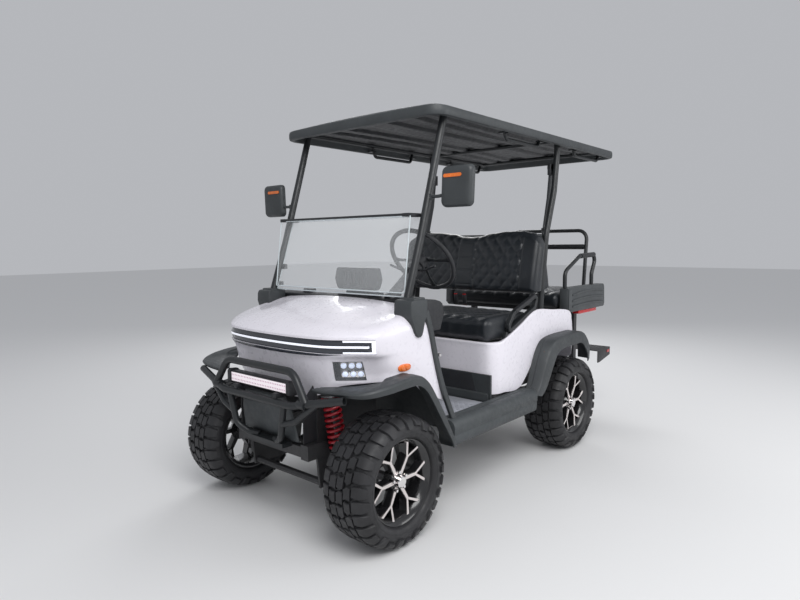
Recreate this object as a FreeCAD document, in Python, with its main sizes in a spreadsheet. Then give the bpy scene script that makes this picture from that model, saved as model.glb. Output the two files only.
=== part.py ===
"""Lifted four-seat golf cart: two seats facing forward, two facing back.

Millimetres. +Z is up, the cart faces -Y and +X is its left, the driver's side.
The origin is on the floor, under the middle of the cart's overall length.
"""
import FreeCAD, Part
import math
import os

import Sketcher
from FreeCAD import Placement, Rotation, Vector

os.makedirs("parts", exist_ok=True)
doc = FreeCAD.newDocument("golf_cart")

# Driving dimensions: alias, value in millimetres (degrees for angles), meaning
SIZES = [
    ("wheelbase", 1700, "front axle to rear axle"),
    ("track", 1084, "between the wheels' middle planes"),
    ("front_reach", 315, "front axle to the foremost point of the bull bar"),
    ("rear_reach", 980, "rear axle to the rear edge of the step"),
    ("seat_gap", 0.3, "air between pieces that only touch"),
    ("tyre_radius", 292, "to the tips of the lugs, 23 inch tyre"),
    ("tyre_width", 245, "over the sidewalls"),
    ("tread_width", 205, "over the shoulder lugs at the tread"),
    ("bead_radius", 178, "14 inch rim"),
    ("bead_drop", 4.3, "bead seat below the 14 inch line"),
    ("lug_depth", 13, "tread lugs above the grooves"),
    ("lug_gap", 14, "slope from a lug down to the groove beside it"),
    ("bead_inset", 14.6, "rim's outer edge in to the bead"),
    ("rim_width", 196, "over the rim's lips"),
    ("lip_radius", 191, "rim's lip"),
    ("barrel_wall", 6, "rim barrel"),
    ("disc_depth", 26, "from the rim's outer lip in to the spoke faces"),
    ("disc_thickness", 22, "spokes and hub disc along the axle"),
    ("hub_disc_radius", 52, "solid middle of the wheel"),
    ("cap_radius", 31, "wheel's centre cap"),
    ("cap_height", 30, "cap beyond the spoke faces"),
    ("spoke_width", 17, "arm of a forked spoke"),
    ("fork_radius", 112, "axis to where a spoke forks"),
    ("fork_angle", 31, "between the two arms' ends, seen from the axle, degrees"),
    ("spoke_count", 6, "forked spokes"),
    ("kingpin_inset", 72, "wheel's middle plane to the steering axis"),
    ("kingpin_radius", 9, "ball joint pins at the steering axis"),
    ("knuckle_height", 130, "upright between the wishbones' eyes"),
    ("knuckle_radius", 17, "upright"),
    ("eye_height", 20, "wishbone eyes round the kingpins"),
    ("hub_radius", 46, "hub flange that the wheel bolts to"),
    ("steer_arm", 100, "steering axis back to the rod's eye"),
    ("arm_level", 14, "steering arm's underside above the axle"),
    ("rod_radius", 8, "tie rod"),
    ("rail_spacing", 480, "between the frame rails' middles"),
    ("rail_width", 50, "frame rail"),
    ("rail_height", 70, "frame rail"),
    ("floor_top", 455, "floor of the footwell above the ground"),
    ("floor_thickness", 30, "floor pan moulding"),
    ("floor_width", 1102, "floor pan between the rockers"),
    ("deck_bottom", 850, "rear seat's deck above the ground"),
    ("deck_thickness", 22, "rear seat's deck"),
    ("deck_width", 891, "rear seat's deck between its side covers"),
    ("deck_end", 786, "rear axle back to the deck's end"),
    ("cover_width", 58, "side covers beside the rear seat"),
    ("cover_top", 1020, "side covers' upper edge above the ground"),
    ("body_width", 1130, "over the white side panels"),
    ("panel_wall", 7, "moulded body panels"),
    ("cowl_nose", 222, "front axle to the nose's foremost point"),
    ("cowl_top", 1052, "highest point of the hood"),
    ("cowl_hem", 610, "lower edge of the nose"),
    ("hood_rise", 7, "raised panel above the hood"),
    ("band_level", 858, "lower edge of the nose's dark band"),
    ("band_height", 44, "dark band"),
    ("lamp_level", 722, "headlamps' lower edge"),
    ("lamp_height", 90, "headlamp"),
    ("lamp_width", 102, "headlamp"),
    ("lamp_inner", 360, "middle plane to a headlamp"),
    ("flare_reach", 660, "middle plane to the outside of the flares"),
    ("flare_width", 52, "flare across the body's side"),
    ("flare_chamfer", 16, "sloped outer edge of a flare"),
    ("rocker_top", 478, "rocker's upper edge above the ground"),
    ("rocker_bottom", 350, "rocker's lower edge above the ground"),
    ("pod_front", 850, "rear axle forward to the seat pod's front panel"),
    ("pod_hem", 492, "seat pod's lower edge"),
    ("pod_shelf", 778, "seat pod's rim under the front cushion"),
    ("pod_rise", 919, "highest point of the seat pod's side"),
    ("pod_tail", 882, "seat pod's side over the rear wheel"),
    ("pod_arch_radius", 398, "wheel arch in the seat pod"),
    ("battery_room", 113, "air between the battery and the seat pod's rim"),
    ("battery_width", 660, "battery block"),
    ("cushion_height", 150, "front cushion"),
    ("cushion_gap", 6, "front cushion to the arm loops"),
    ("arm_inset", 25, "body's side in to the arm loops' middle"),
    ("arm_width", 28, "flat section of the front arm loops"),
    ("back_bottom", 1010, "backrests' lower edge above the ground"),
    ("back_width", 1060, "front backrest"),
    ("back_height", 390, "front backrest"),
    ("pillar_radius", 19, "canopy pillars"),
    ("roof_rail_radius", 16, "tubes under the canopy, front to back"),
    ("pillar_inset", 65, "body's side in to the pillars' axes"),
    ("roof_width", 1140, "canopy over its sides"),
    ("roof_length", 2130, "canopy"),
    ("roof_edge", 1925, "canopy's lower edge above the ground"),
    ("roof_side", 58, "height of the canopy's rim"),
    ("roof_crown", 34, "rise of the canopy between rim and middle"),
    ("roof_wall", 5, "canopy shell"),
    ("handle_length", 410, "grab handles under the roof"),
    ("roof_overhang", 350, "front axle back to the canopy's front edge"),
    ("dash_bottom", 905, "dash's lower edge above the ground"),
    ("screen_thickness", 5, "windscreen pane"),
    ("mirror_level", 1490, "mirrors' lower edge above the ground"),
    ("mirror_height", 190, "mirror head"),
    ("mirror_width", 178, "mirror head"),
    ("bar_radius", 17.5, "bull bar tube"),
    ("bar_level", 626, "bull bar's main tube above the ground"),
    ("grab_radius", 14, "grab rails and arm hoops"),
    ("rail_rise", 565, "grab rail's top above the deck's underside"),
    ("grab_width", 660, "between the grab rail's legs"),
    ("step_height", 510, "rear step's top above the ground"),
    ("step_width", 960, "rear step"),
    ("step_depth", 230, "rear step, front to back"),
    ("step_side", 95, "rear step's side plates"),
    ("wheel_ring", 188, "steering wheel, middle of the rim"),
    ("ring_radius", 13, "steering wheel's rim section"),
    ("column_radius", 27, "steering column's tube"),
    ("steer_wheel_x", 300, "steering wheel's middle from the cart's middle"),
]

sheet = doc.addObject("Spreadsheet::Sheet", "sizes")
for row, (alias, value, meaning) in enumerate(SIZES, start=1):
    sheet.set(f"A{row}", meaning)
    sheet.set(f"B{row}", str(value))
    sheet.setAlias(f"B{row}", alias)
doc.recompute()


class Size(float):
    """A number that keeps the formula of sheet cells that it comes from."""

    def __new__(cls, value, formula):
        number = super().__new__(cls, value)
        number.formula = formula
        return number

    def __add__(self, other):
        return joined(self, "+", other, float(self) + float(other))

    def __radd__(self, other):
        return joined(other, "+", self, float(other) + float(self))

    def __sub__(self, other):
        return joined(self, "-", other, float(self) - float(other))

    def __rsub__(self, other):
        return joined(other, "-", self, float(other) - float(self))

    def __mul__(self, other):
        return joined(self, "*", other, float(self) * float(other))

    def __rmul__(self, other):
        return joined(other, "*", self, float(other) * float(self))

    def __truediv__(self, other):
        return joined(self, "/", other, float(self) / float(other))

    def __neg__(self):
        return -1.0 * self


def text_of(number):
    """The number as the sheet's formulas write it."""
    return number.formula if isinstance(number, Size) else repr(float(number))


def joined(left, sign, right, value):
    return Size(value, f"({text_of(left)} {sign} {text_of(right)})")


class Sizes:
    """Each alias of the sheet as a Size."""


s = Sizes()
for alias, _value, _meaning in SIZES:
    setattr(s, alias, Size(float(sheet.get(alias)), f"sizes.{alias}"))

# Places that follow from the driving dimensions
span = s.front_reach + s.wheelbase + s.rear_reach
front_y = s.front_reach - span / 2
rear_y = span / 2 - s.rear_reach
wheel_x = s.track / 2
axle_z = s.tyre_radius
kingpin_x = wheel_x - s.kingpin_inset
rail_x = s.rail_spacing / 2
rail_top = s.floor_top - s.floor_thickness
rail_bottom = rail_top - s.rail_height
side_x = s.body_width / 2
pillar_x = side_x - s.pillar_inset
pod_y = rear_y - s.pod_front
arm_x = side_x - s.arm_inset
beam_top = s.pod_shelf - 78

# Facets: how many flats stand for a round form
LUGS_A_SIDE = 16
CAVITY_SIDES = 12
RIM_SIDES = 16
RING_SIDES = 18
COIL_STEPS = 6
CANOPY_SIDES = 8
TURN_PER_MITRE = math.radians(50)

# The pillars are measured to their corners; this is the middle to a flat, where the pane's edge lies
pillar_flat = s.pillar_radius * math.cos(math.pi / CANOPY_SIDES)

# In from the canopy's side, share of the crown's rise reached there
CROWN_RISE = [(-40, -0.1), (110, 0.4), (260, 0.74), (460, 1.0)]


def front(y):
    """A place this far behind the front axle."""
    return front_y + y


def rear(y):
    """A place this far behind the rear axle."""
    return rear_y + y


# Modelling helpers: each makes one object of the document, bound to the sheet

PLANES = {
    "XY": (Rotation(0, 0, 0, 1), "z"),
    "XZ": (Rotation(Vector(1, 0, 0), 90), "y"),
    "YZ": (Rotation(Vector(1, 1, 1), 120), "x"),
}


def bind(feature, path, number):
    """Sets a property and ties it to the sheet where the number comes from there."""
    if isinstance(number, Size):
        feature.setExpression(path, number.formula)
    elif "." not in path:
        setattr(feature, path, float(number))


def place(feature, x=0.0, y=0.0, z=0.0, turn=None):
    """Puts an object at a point, tied to the sheet, and turns it."""
    feature.Placement = Placement(Vector(x, y, z), turn or Rotation())
    for axis, number in (("x", x), ("y", y), ("z", z)):
        bind(feature, f"Placement.Base.{axis}", number)
    return feature


def box(name, low, high):
    """A block from its lowest corner to its highest."""
    feature = doc.addObject("Part::Box", name)
    for prop, start, end in zip(("Length", "Width", "Height"), low, high):
        bind(feature, prop, end - start)
    return place(feature, *low)


def rod(name, start, end, radius, sides=0):
    """A straight bar from one end's middle to the other's, round or with so many flats."""
    feature = doc.addObject("Part::Prism" if sides else "Part::Cylinder", name)
    run = Vector(*end) - Vector(*start)
    if sides:
        feature.Polygon = sides
    bind(feature, "Circumradius" if sides else "Radius", radius)
    steps = [last - first for first, last in zip(start, end)]
    straight = [step for step in steps if abs(step) > 1e-6]
    bind(feature, "Height", straight[0] if len(straight) == 1 and straight[0] > 0 else run.Length)
    return place(feature, *start, turn=Rotation(Vector(0, 0, 1), run))


def outline(name, plane, corners, level=0.0):
    """A closed sketch of straight runs whose corners (u, v) are tied to the sheet."""
    sketch = doc.addObject("Sketcher::SketchObject", name)
    turn, normal = PLANES[plane]
    place(sketch, turn=turn, **{normal: level})
    points = [Vector(u, v, 0) for u, v in corners]
    for start, end in zip(points, points[1:] + points[:1]):
        sketch.addGeometry(Part.LineSegment(start, end), False)
    for index, corner in enumerate(corners):
        before = (index - 1) % len(corners)
        sketch.addConstraint(Sketcher.Constraint("Coincident", before, 2, index, 1))
        pin_point(sketch, index, corner)
    return sketch


def size_of(sketch, constraint, number):
    """Sets a measured constraint and ties it to the sheet."""
    index = sketch.addConstraint(constraint)
    if isinstance(number, Size):
        sketch.setExpression(f"Constraints[{index}]", number.formula)


def pin_point(sketch, line, corner):
    """Holds a line's first point at its distances from the sketch's axes."""
    for kind, axis, number in (("DistanceX", -2, corner[0]), ("DistanceY", -1, corner[1])):
        if abs(number) < 1e-9:
            sketch.addConstraint(Sketcher.Constraint("PointOnObject", line, 1, axis))
        else:
            size_of(sketch, Sketcher.Constraint(kind, -1, 1, line, 1, float(number)), number)


def extrude(name, profile, direction, length, both=False):
    """A solid run of an outline along a direction."""
    feature = doc.addObject("Part::Extrusion", name)
    feature.Base = profile
    feature.DirMode = "Custom"
    feature.Dir = Vector(*direction)
    feature.Solid = True
    feature.Symmetric = both
    bind(feature, "LengthFwd", length)
    return feature


def path(points, bend):
    """A wire of straight runs whose corners are bent in equal short turns about one radius."""
    vectors = [Vector(*point) for point in points]
    line = [vectors[0]]
    for before, corner, after in zip(vectors, vectors[1:], vectors[2:]):
        back = (before - corner).normalize()
        onward = (after - corner).normalize()
        half = back.getAngle(onward) / 2
        turn = math.pi - 2 * half
        count = max(1, round(turn / TURN_PER_MITRE))
        if count == 1:
            line.append(corner)
            continue
        room = 0.48 * min((before - corner).Length, (after - corner).Length)
        radius = min(float(bend), room * math.tan(half))
        middle = corner + (back + onward).normalize() * (radius / math.sin(half))
        first = corner + back * (radius / math.tan(half)) - middle
        normal = first.cross(corner - middle)
        for index in range(count):
            swing = Rotation(normal, math.degrees(turn * (index + 0.5) / count))
            line.append(middle + swing.multVec(first) * (1 / math.cos(turn / (2 * count))))
    line.append(vectors[-1])
    return Part.makePolygon(line)


def swept(name, section, points, bend):
    """A section carried along a path with mitred turns."""
    spine = doc.addObject("Part::Feature", f"{name}_path")
    spine.Shape = path(points, bend)
    feature = doc.addObject("Part::Sweep", name)
    feature.Sections = [section]
    feature.Spine = (spine, [f"Edge{i + 1}" for i in range(len(spine.Shape.Edges))])
    feature.Solid = True
    feature.Frenet = False
    feature.Transition = "Right corner"
    return feature


def tube(name, points, radius, bend=60.0, sides=10):
    """A bent tube along a path, with so many flats."""
    ring = doc.addObject("Part::RegularPolygon", f"{name}_ring")
    ring.Polygon = sides
    bind(ring, "Circumradius", radius)
    run = Vector(*points[1]) - Vector(*points[0])
    place(ring, *points[0], turn=Rotation(Vector(0, 0, 1), run))
    doc.recompute()
    return swept(name, ring, points, bend)


def flat_bar(name, points, width, thickness, bend=40.0):
    """A bent bar of flat section that lies across the cart's length, its width along X."""
    section = outline(f"{name}_section", "XY", [
        (-width / 2, -thickness / 2), (width / 2, -thickness / 2), (width / 2, thickness / 2),
        (-width / 2, thickness / 2),
    ])
    run = (Vector(*points[1]) - Vector(*points[0])).normalize()
    across = Vector(1, 0, 0)
    place(section, *points[0], turn=Rotation(across, run.cross(across), run, "ZXY"))
    doc.recompute()
    return swept(name, section, points, bend)


def coil_spring(name, base, axis, mean_radius, wire_radius, height, turns):
    """A wire wound about an axis in short straight runs, from its first turn to its last."""
    points = []
    for index in range(turns * COIL_STEPS + 1):
        angle = 2 * math.pi * index / COIL_STEPS
        rise = height * index / (turns * COIL_STEPS)
        points.append(Vector(mean_radius * math.cos(angle), mean_radius * math.sin(angle), rise))
    wire = doc.addObject("Part::RegularPolygon", f"{name}_wire")
    wire.Polygon = 4
    wire.Circumradius = wire_radius
    place(wire, *points[0], turn=Rotation(Vector(0, 0, 1), points[1] - points[0]))
    spine = doc.addObject("Part::Feature", f"{name}_path")
    spine.Shape = Part.makePolygon(points)
    doc.recompute()
    coil = doc.addObject("Part::Sweep", f"{name}_coil")
    coil.Sections = [wire]
    coil.Spine = (spine, [f"Edge{i + 1}" for i in range(len(spine.Shape.Edges))])
    coil.Solid = True
    coil.Frenet = False
    coil.Transition = "Right corner"
    return moved(name, coil, *base, turn=Rotation(Vector(0, 0, 1), axis))


def ruled(name, *sections):
    """A solid with flat sides between closed sections that have as many corners each."""
    feature = doc.addObject("Part::Loft", name)
    feature.Sections = list(sections)
    feature.Solid = True
    feature.Ruled = True
    return feature


def wedge(name, corners, count, reach):
    """One of so many equal wedges about the X axis; the outline is its section (along X, out from X)."""
    half = math.pi / count
    section = outline(f"{name}_section", "XY", corners)
    run = extrude(f"{name}_run", section, (0, 0, 1), 2 * reach * math.tan(half) + 2, both=True)
    far = 1.2 * reach
    sector = outline(
        f"{name}_sector", "YZ", [(0.0, 0.0), (far, -far * math.tan(half)), (far, far * math.tan(half))]
    )
    return common(name, run, extrude(f"{name}_sector_run", sector, (1, 0, 0), 2 * reach, both=True))


def wedge_ring(name, wedges, rounds):
    """A ring of the given wedges in turn, so many times round the X axis."""
    pieces = []
    count = rounds * len(wedges)
    for index in range(count):
        turn = Rotation(Vector(1, 0, 0), 360.0 * index / count)
        pieces.append(moved(f"{name}_{index}", wedges[index % len(wedges)], 0, 0, 0, turn=turn))
    return fuse(name, *pieces)


def fuse(name, *shapes):
    feature = doc.addObject("Part::MultiFuse", name)
    feature.Shapes = list(shapes)
    return feature


def common(name, *shapes):
    feature = doc.addObject("Part::MultiCommon", name)
    feature.Shapes = list(shapes)
    return feature


def cut(name, base, *tools):
    feature = doc.addObject("Part::Cut", name)
    feature.Base = base
    feature.Tool = tools[0] if len(tools) == 1 else fuse(f"{name}_tools", *tools)
    return feature


def mirror(name, source):
    """The same piece on the cart's other side."""
    feature = doc.addObject("Part::Mirroring", name)
    feature.Source = source
    feature.Base = Vector(0, 0, 0)
    feature.Normal = Vector(1, 0, 0)
    return feature


NODES = []


def node(label, *solids):
    """One named sub-part of the cart, of one solid or of like solids."""
    feature = solids[0]
    if len(solids) > 1:
        feature = doc.addObject("Part::Compound", f"{label}_set")
        feature.Links = list(solids)
    feature.Label = label
    NODES.append(feature)
    return feature


def both_sides(label, solid):
    return node(label, solid, mirror(f"{label}_other", solid))


def moved(name, solid, x, y, z, turn=None):
    feature = doc.addObject("Part::Compound", name)
    feature.Links = [solid]
    return place(feature, x, y, z, turn=turn)


# Wheels


def tyre_solid():
    """Hollow casing with staggered lugs: each wedge has a lug on one side and the groove on the other."""
    tread = s.tread_width / 2
    wall = s.tyre_width / 2
    bead = s.rim_width / 2 - s.bead_inset
    seat = (s.bead_radius - s.bead_drop) / math.cos(math.pi / RIM_SIDES) + s.seat_gap
    groove = s.tyre_radius - s.lug_depth
    lip = s.lip_radius + s.seat_gap
    corners = [
        (-bead, seat), (-wall, lip + 46), (-tread - 4, s.tyre_radius - 2), (-s.lug_gap / 2, s.tyre_radius),
        (s.lug_gap / 2, groove), (tread - 4, groove - 3), (wall, lip + 46), (bead, seat),
    ]
    others = [(-u, v) for u, v in reversed(corners)]
    left = wedge("lug_left", corners, 2 * LUGS_A_SIDE, s.tyre_radius)
    right = wedge("lug_right", others, 2 * LUGS_A_SIDE, s.tyre_radius)
    body = wedge_ring("tyre_rubber", [left, right], LUGS_A_SIDE)
    cavity = wedge("tyre_cavity_part", [
        (-bead + 12, seat - 16), (-wall + 20, lip + 48), (-tread + 16, groove - 26),
        (tread - 16, groove - 26), (wall - 20, lip + 48), (bead - 12, seat - 16),
    ], CAVITY_SIDES, s.tyre_radius)
    return cut("tyre_body", body, wedge_ring("tyre_cavity", [cavity], CAVITY_SIDES))


def rim_solid():
    """A drop-well barrel, a hub disc, forked spokes and a centre cap."""
    lip = s.rim_width / 2
    bead = s.bead_radius - s.bead_drop
    hollow = bead - s.barrel_wall
    well = wedge("rim_wedge", [
        (-lip, s.lip_radius), (-lip + 14, bead), (lip - 14, bead), (lip, s.lip_radius),
        (lip, s.lip_radius - 5), (lip - 12, hollow), (-lip + 12, hollow),
    ], RIM_SIDES, s.lip_radius)
    barrel = wedge_ring("rim_barrel", [well], RIM_SIDES)
    face = lip - s.disc_depth
    back = face - s.disc_thickness
    disc = rod("rim_disc", (back, 0, 0), (face, 0, 0), s.hub_disc_radius, sides=12)
    cap = rod("rim_cap", (face, 0, 0), (face + s.cap_height, 0, 0), s.cap_radius)
    spread = math.radians(float(s.fork_angle) / 2)
    reach = hollow + s.barrel_wall * 0.7
    half, arm = s.spoke_width / 2, s.spoke_width * 0.42
    fork = s.fork_radius
    tip_x, tip_y = reach * math.sin(spread), reach * math.cos(spread)
    corners = [
        (-half, s.hub_disc_radius - 20), (half, s.hub_disc_radius - 20), (half * 0.7, fork - 8),
        (tip_x + arm, tip_y - arm * 0.3), (tip_x - arm, tip_y + arm * 0.3), (0.0, fork + 9),
        (-tip_x + arm, tip_y + arm * 0.3), (-tip_x - arm, tip_y - arm * 0.3), (-half * 0.7, fork - 8),
    ]
    spoke = extrude(
        "rim_spoke", outline("rim_spoke_outline", "YZ", corners, level=back), (1, 0, 0), s.disc_thickness
    )
    spokes = [
        moved(
            f"rim_spoke_{index}", spoke, 0, 0, 0, turn=Rotation(
                Vector(1, 0, 0), 360.0 * (index + 0.5) / s.spoke_count
            )
        )
        for index in range(int(s.spoke_count))
    ]
    return fuse("rim_body", barrel, disc, cap, *spokes)


def wheels():
    """Four tyres on their rims; the right ones show the same face outwards."""
    tyre = tyre_solid()
    rim = rim_solid()
    flipped = mirror("rim_body_right", rim)
    for end, y in (("front", front_y), ("rear", rear_y)):
        for side, sign, wheel in (("left", 1, rim), ("right", -1, flipped)):
            node(f"tyre_{end}_{side}", moved(f"tyre_{end}_{side}_set", tyre, sign * wheel_x, y, axle_z))
            node(f"rim_{end}_{side}", moved(f"rim_{end}_{side}_set", wheel, sign * wheel_x, y, axle_z))


# Running gear


def knuckles():
    """Upright on the steering axis with ball pins, spindle, hub flange and steering arm."""
    face = wheel_x + s.rim_width / 2 - s.disc_depth - s.disc_thickness - s.seat_gap
    half = s.knuckle_height / 2
    pin = half + s.seat_gap + s.eye_height
    at = (kingpin_x, front_y)
    upright = rod("knuckle_upright", (*at, axle_z - half), (*at, axle_z + half), s.knuckle_radius, sides=8)
    pins = [
        rod(
            f"knuckle_pin_{name}", (*at, low), (*at, low + s.seat_gap + s.eye_height + 1), s.kingpin_radius,
            sides
        )
        for name, low, sides in (("low", axle_z - pin, 0), ("high", axle_z + half - 1, 8))
    ]
    spindle = rod(
        "knuckle_spindle", (kingpin_x, front_y, axle_z), (face - 12, front_y, axle_z), 22, sides=8
    )
    flange = rod(
        "knuckle_flange", (face - 12, front_y, axle_z), (face, front_y, axle_z), s.hub_radius, sides=12
    )
    eye_y = front_y + s.steer_arm
    arm_outline = outline("knuckle_arm_outline", "XY", [
        (kingpin_x - 12, front_y), (kingpin_x + 12, front_y), (kingpin_x - 14, eye_y + 12),
        (kingpin_x - 24, eye_y + 16), (kingpin_x - 38, eye_y + 16), (kingpin_x - 46, eye_y + 6),
        (kingpin_x - 44, eye_y - 12),
    ], level=axle_z + s.arm_level)
    arm = extrude("knuckle_arm", arm_outline, (0, 0, 1), 14)
    left = fuse("knuckle_solid", upright, *pins, spindle, flange, arm)
    node("knuckle_left", left)
    node("knuckle_right", mirror("knuckle_solid_right", left))


def tie_rod():
    """One bar from eye to eye, under the knuckles' steering arms."""
    eye_x = kingpin_x - 30
    eye_y = front_y + s.steer_arm
    z = axle_z + s.arm_level - s.seat_gap - s.rod_radius
    bar = rod("tie_rod_bar", (-eye_x, eye_y, z), (eye_x, eye_y, z), s.rod_radius - 1, sides=8)
    eyes = [
        rod(f"tie_rod_eye_{side}", (x, eye_y, z - 9), (x, eye_y, z + s.rod_radius), 13, sides=8)
        for side, x in (("left", eye_x), ("right", -eye_x))
    ]
    node("tie_rod", fuse("tie_rod_solid", bar, *eyes))


def front_subframe():
    """Side plates under the rails, cross tubes, spring towers and the rack housing."""
    plate_x = rail_x + 8
    rod_y = front_y + s.steer_arm
    rod_z = axle_z + s.arm_level - s.seat_gap - s.rod_radius
    low_z = rail_bottom - 150
    tower_z = rail_top + 281
    pieces = []
    for side, sign in (("left", 1), ("right", -1)):
        plate = outline(f"subframe_plate_{side}_outline", "YZ", [
            (front(-150), rail_bottom), (front(-135), low_z), (front(150), low_z),
            (front(175), rail_bottom),
        ], level=sign * plate_x - 6)
        pieces.append(extrude(f"subframe_plate_{side}", plate, (1, 0, 0), 12))
        low, high = sorted((sign * (rail_x - 5), sign * (rail_x + 7)))
        pieces.append(box(f"tower_{side}", (low, front(-140), rail_top), (high, front(-70), tower_z)))
        low, high = sorted((sign * (rail_x - 5), sign * (rail_x + 72)))
        pieces.append(
            box(f"tower_top_{side}", (low, front(-140), tower_z - 12), (high, front(-70), tower_z))
        )
    for index, y in enumerate((-115, 130)):
        ends = [(sign * plate_x, front(y), low_z + 20) for sign in (-1, 1)]
        pieces.append(rod(f"subframe_cross_{index}", *ends, 17, sides=8))
    housing = 150.0
    pieces.append(rod("rack_housing", (-housing, rod_y, rod_z), (housing, rod_y, rod_z), 24, sides=10))
    pieces.append(box("rack_hanger", (-60.0, rod_y + 10, low_z + 20), (60.0, rod_y + 40, rod_z + 12)))
    bore = rod(
        "rack_bore", (-housing - 1, rod_y, rod_z), (housing + 1, rod_y, rod_z), s.rod_radius + 1, sides=8
    )
    passages = [
        rod(f"rod_passage_{index}", (x, rod_y, rod_z), (x + 60, rod_y, rod_z), s.rod_radius + 8, sides=8)
        for index, x in enumerate((-plate_x - 30, plate_x - 30))
    ]
    node("front_subframe", cut("subframe_solid", fuse("subframe_frame", *pieces), bore, *passages))


def front_suspension():
    """Two wishbones and a coil-over at each side, with the spring's wire wound between its cups."""
    half = s.knuckle_height / 2
    levels = [
        # name, inboard face, pivot height, eye's lowest height, half spread, leg radius
        ("lower", rail_x + 14, axle_z - 70, axle_z - half - s.seat_gap - s.eye_height, 105, 11),
        ("upper", rail_x + s.rail_width / 2, axle_z + 100, axle_z + half + s.seat_gap, 62, 9),
    ]
    pieces = []
    bush_radius = 13
    at = (kingpin_x, front_y)
    for name, face, pivot_z, eye_z, spread, radius in levels:
        pivot = face + bush_radius + s.seat_gap
        middle = eye_z + s.eye_height / 2
        legs = [
            rod(f"{name}_leg_{side + 1}", (pivot, front(side * spread), pivot_z),
                (kingpin_x - 12, front(side * 6), middle), radius, sides=6)
            for side in (-1, 1)
        ]
        ends = [(pivot, front(side * (spread + 18)), pivot_z) for side in (-1, 1)]
        bush = rod(f"{name}_bush", *ends, bush_radius, sides=6)
        eye = rod(f"{name}_eye", (*at, eye_z), (*at, eye_z + s.eye_height), 20, sides=10)
        bore_radius = (s.kingpin_radius + s.seat_gap) / math.cos(math.pi / 10)
        bore = rod(
            f"{name}_bore", (*at, eye_z - 40), (*at, eye_z + s.eye_height + 40), bore_radius, sides=10
        )
        relief = rod(
            f"{name}_relief", (*at, axle_z - half - s.seat_gap), (*at, axle_z + half + s.seat_gap), 32,
            sides=8
        )
        pieces.append(cut(f"{name}_wishbone", fuse(f"{name}_arms", *legs, bush, eye), bore, relief))
    foot = Vector(rail_x + 100, front(-69), axle_z - 58)
    head = Vector(rail_x + 48, front(-105), rail_top + 267)
    axis = (head - foot).normalize()

    def along(distance):
        return tuple(foot + axis * distance)

    low_seat, high_seat = 154.0, 408.0
    damper = rod("damper_body", along(0), along(210), 19, sides=10)
    piston = rod("damper_rod", along(205), along((head - foot).Length), 9, sides=6)
    cup = rod("damper_cup", along(low_seat - 8), along(low_seat), 43, sides=10)
    hat = rod("damper_hat", along(high_seat), along(high_seat + 8), 43, sides=10)
    pieces.append(fuse("damper_solid", damper, piston, cup, hat))
    wire_radius = 6
    first, last = low_seat + wire_radius + s.seat_gap, high_seat - wire_radius - s.seat_gap
    pieces.append(coil_spring("spring", foot + axis * first, axis, 36, wire_radius, last - first, 5))
    left = doc.addObject("Part::Compound", "suspension_left")
    left.Links = pieces
    both_sides("front_suspension", left)


def rear_axle():
    """Axle tube with its hub flanges, differential and gearbox, and the motor beside them."""
    reach = wheel_x + s.rim_width / 2 - s.disc_depth - s.disc_thickness - s.seat_gap
    tube_solid = rod("axle_tube", (-reach + 12, rear_y, axle_z), (reach - 12, rear_y, axle_z), 36, sides=10)
    flanges = [
        rod(
            f"axle_flange_{index}", (start, rear_y, axle_z), (start + 12, rear_y, axle_z), s.hub_radius,
            sides=12
        )
        for index, start in enumerate((-reach, reach - 12))
    ]
    casing = rod("differential", (70.0, rear_y, axle_z), (150.0, rear_y, axle_z), 62, sides=12)
    cover = rod("differential_cover", (150.0, rear_y, axle_z), (166.0, rear_y, axle_z), 48, sides=12)
    gearbox = box("gearbox", (70.0, rear(-170), axle_z - 45), (140.0, rear(0), axle_z + 45))
    node("rear_axle", fuse("rear_axle_solid", tube_solid, *flanges, casing, cover, gearbox))
    motor_y, motor_z = rear(-125), axle_z - 12
    body = rod(
        "motor_body", (-170.0, motor_y, motor_z), (70.0 - s.seat_gap, motor_y, motor_z), 70, sides=14
    )
    end = rod("motor_end", (-200.0, motor_y, motor_z), (-170.0, motor_y, motor_z), 62, sides=14)
    node("drive_motor", fuse("drive_motor_solid", body, end))


def leaf_springs():
    """Three stepped leaves on the axle, with the long one's ends hung under the rails."""
    spring_x = rail_x + 62
    seat = axle_z + 36 + s.seat_gap
    eye_z = rail_bottom + 34
    pack = outline("leaf_pack_outline", "YZ", [
        (rear(-330), eye_z), (rear(-180), (seat + eye_z) / 2 - 2),
        (rear(-176), (seat + eye_z) / 2 - 9), (rear(-60), seat + 5), (rear(-56), seat),
        (rear(56), seat), (rear(60), seat + 5), (rear(176), (seat + eye_z) / 2 - 9),
        (rear(180), (seat + eye_z) / 2 - 2), (rear(330), eye_z), (rear(330), eye_z + 8),
        (rear(150), (seat + eye_z) / 2 + 8), (rear_y, seat + 20), (rear(-150), (seat + eye_z) / 2 + 8),
        (rear(-330), eye_z + 8),
    ], level=spring_x - 22)
    main = extrude("leaf_pack", pack, (1, 0, 0), 44)
    hangers = [
        box(f"leaf_hanger_{side}", (rail_x + s.rail_width / 2, rear(side * 326) - 14, rail_bottom + 14),
            (spring_x + 24, rear(side * 326) + 14, rail_bottom + 62))
        for side in (-1, 1)
    ]
    both_sides("leaf_springs", fuse("leaf_spring_solid", main, *hangers))


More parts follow.
